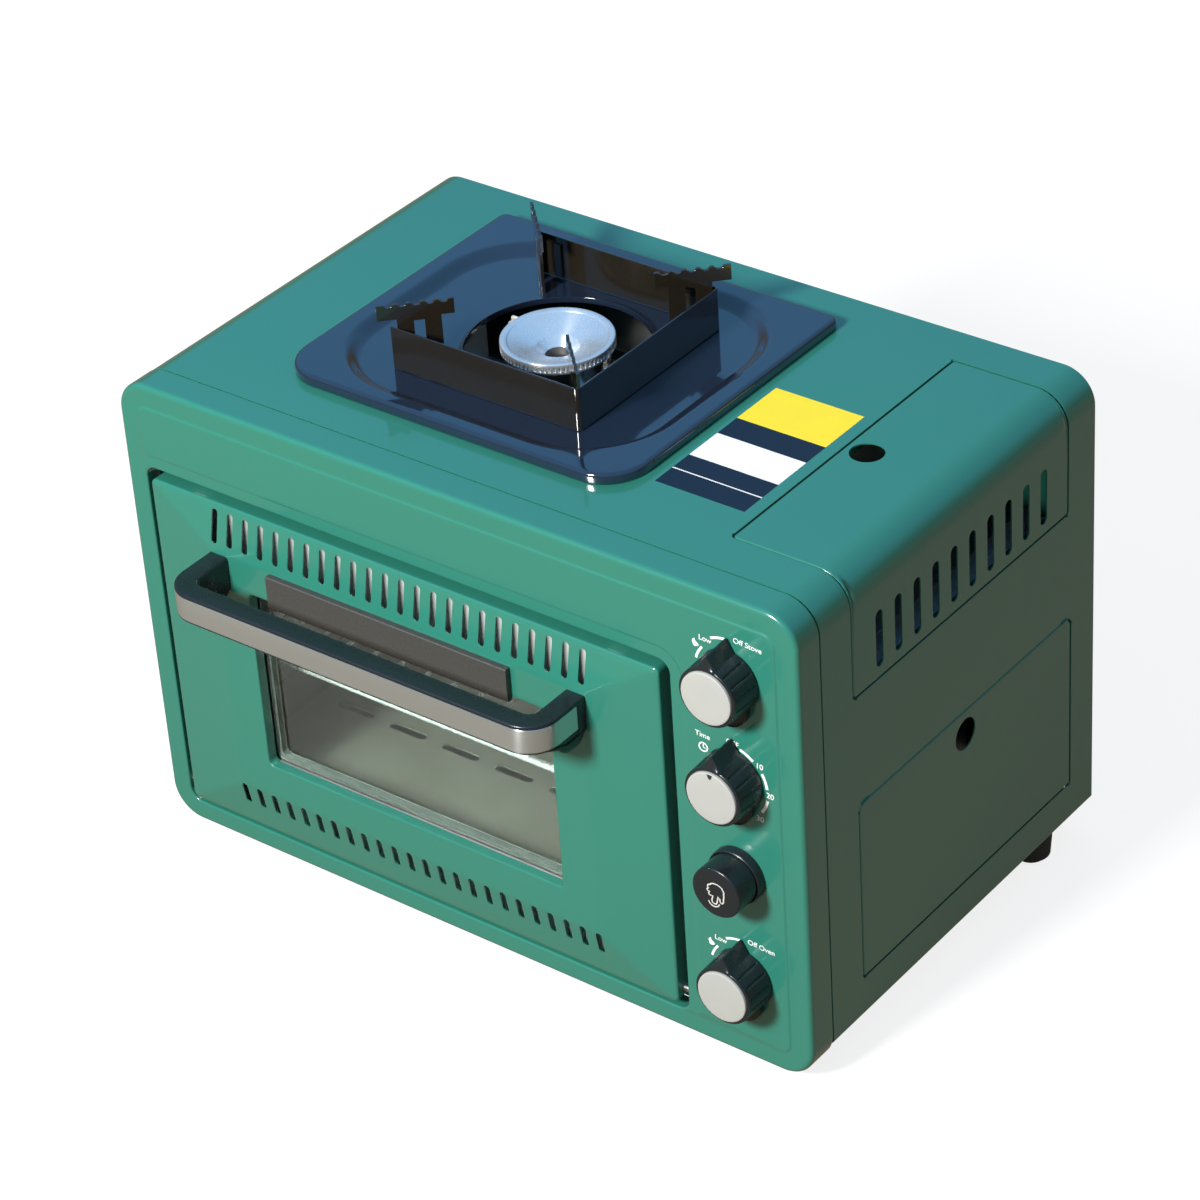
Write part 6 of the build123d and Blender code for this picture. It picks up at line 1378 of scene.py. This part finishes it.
# ---------------------------------------------------------------- oven inside
# A folded, aluminised box on two hat rails. Its burner is a ported tube under a slotted cover, four rails
# carry the chromed wire rack, and a woven cord seals the door.
liner_sheet = coating("aluminised_sheet", (0.56, 0.57, 0.56), (0.46, 0.47, 0.46), 16.0, (0.26, 0.42), 0.03,
                      220.0, metallic=0.75, detail=5.0)
dress(liner_sheet, "oven_liner", "liner_feet")
# Broad noise mottles the slotted cover from pale grey to dark brown; the sheet is darker than the liner
# overall.
mottled_cover_sheet = coating("brown_mottled_sheet", (0.36, 0.36, 0.33), (0.11, 0.088, 0.062), 10.0, (0.30, 0.45),
                       0.01, 600.0, metallic=0.6, detail=5.0)
dress(mottled_cover_sheet, "burner_cover")
dress(bright_steel, "rack_rails")
chrome = coating("chrome_wire", (0.86, 0.86, 0.85), (0.78, 0.78, 0.77), 40.0, (0.22, 0.32), 0.004, 500.0,
                 metallic=0.75)
dress(chrome, "oven_rack")
dress(tube_steel, "oven_burner", "tube_saddles")
dress(woven, "door_seal")

# ---------------------------------------------------------------- door pins, catches and screws
# The door turns on two steel pins; two nylon catches at its top edge hold it shut. Screws are zinc-plated.
dress(stem_steel, "door_pins")
nylon = coating("natural_nylon", (0.80, 0.80, 0.76), (0.72, 0.72, 0.68), 60.0, (0.4, 0.55), 0.01, 900.0)
dress(nylon, "door_catches")
dress(stem_steel, "handle_screws", "foot_screws", "back_screws")

# ---------------------------------------------------------------- gas parts and controls behind the bezel
# The cartridge lies in a cradle against the regulator on its mount. A copper manifold feeds the two valves,
# and their jets blow into the burner tubes. The timer and the piezo igniter share the plate with the valves.
dress(zinc, "control_bracket", "cartridge_cradle", "regulator_mount")
brass = coating("turned_brass", (0.66, 0.47, 0.20), (0.56, 0.39, 0.16), 40.0, (0.20, 0.34), 0.008, 800.0,
                metallic=1.0)
dress(brass, "stove_valve", "oven_valve", "regulator")
copper = coating("copper_pipe", (0.62, 0.34, 0.22), (0.50, 0.26, 0.17), 24.0, (0.22, 0.38), 0.01, 500.0,
                 metallic=1.0)
dress(copper, "gas_manifold", "jet_pipes")
ivory = coating("timer_case", (0.66, 0.65, 0.58), (0.60, 0.59, 0.52), 40.0, (0.4, 0.55), 0.01, 900.0)
dress(ivory, "timer_body")
dress(black_plastic, "igniter")

# ---------------------------------------------------------------- base, back and inner walls
# Zinc-coated sheet: the base plate, the heat shield between oven and bay and the bay floor. The back panel is
# painted like the shell, with louvre slots, and is held by self-tapping screws.
dress(zinc, "base_plate", "heat_shield", "bay_floor")
dress(green, "back_panel")

# ---------------------------------------------------------------- vent guard
# A folded sheet of zinc-coated steel stands off the back panel behind its slots, so that nothing reaches
# the oven through them while hot air still leaves at the two open ends.
GUARD_WIDE = 208.0
GUARD_GAP = 6.4
GUARD_Z = (238.0, 300.0)
GUARD_SHEET = 0.8
liner_low, liner_high = extent("oven_liner")
guard_x = (liner_low[0] + liner_high[0]) / 2 + np.array([-GUARD_WIDE / 2, GUARD_WIDE / 2])
guard_back = extent("back_panel")[1][1] - 1.2
guard_fold = [(guard_back, GUARD_Z[0]), (guard_back - GUARD_GAP, GUARD_Z[0]),
              (guard_back - GUARD_GAP, GUARD_Z[1]), (guard_back, GUARD_Z[1])]
guard_points = np.array([[(x, y, z) for x in guard_x] for y, z in guard_fold])
piece("vent_guard", guard_points.reshape(-1, 3), quads(len(guard_fold), 2), zinc, "housing",
      thick=GUARD_SHEET)

# ---------------------------------------------------------------- feet
# Four moulded rubber feet, each screwed to the base plate through its middle.
rubber = coating("foot_rubber", (0.018, 0.018, 0.018), (0.028, 0.028, 0.027), 40.0, (0.6, 0.8), 0.06, 500.0)
refined("moulded_feet", ["rubber_feet"], rubber, "housing", 0.8, crease=40)
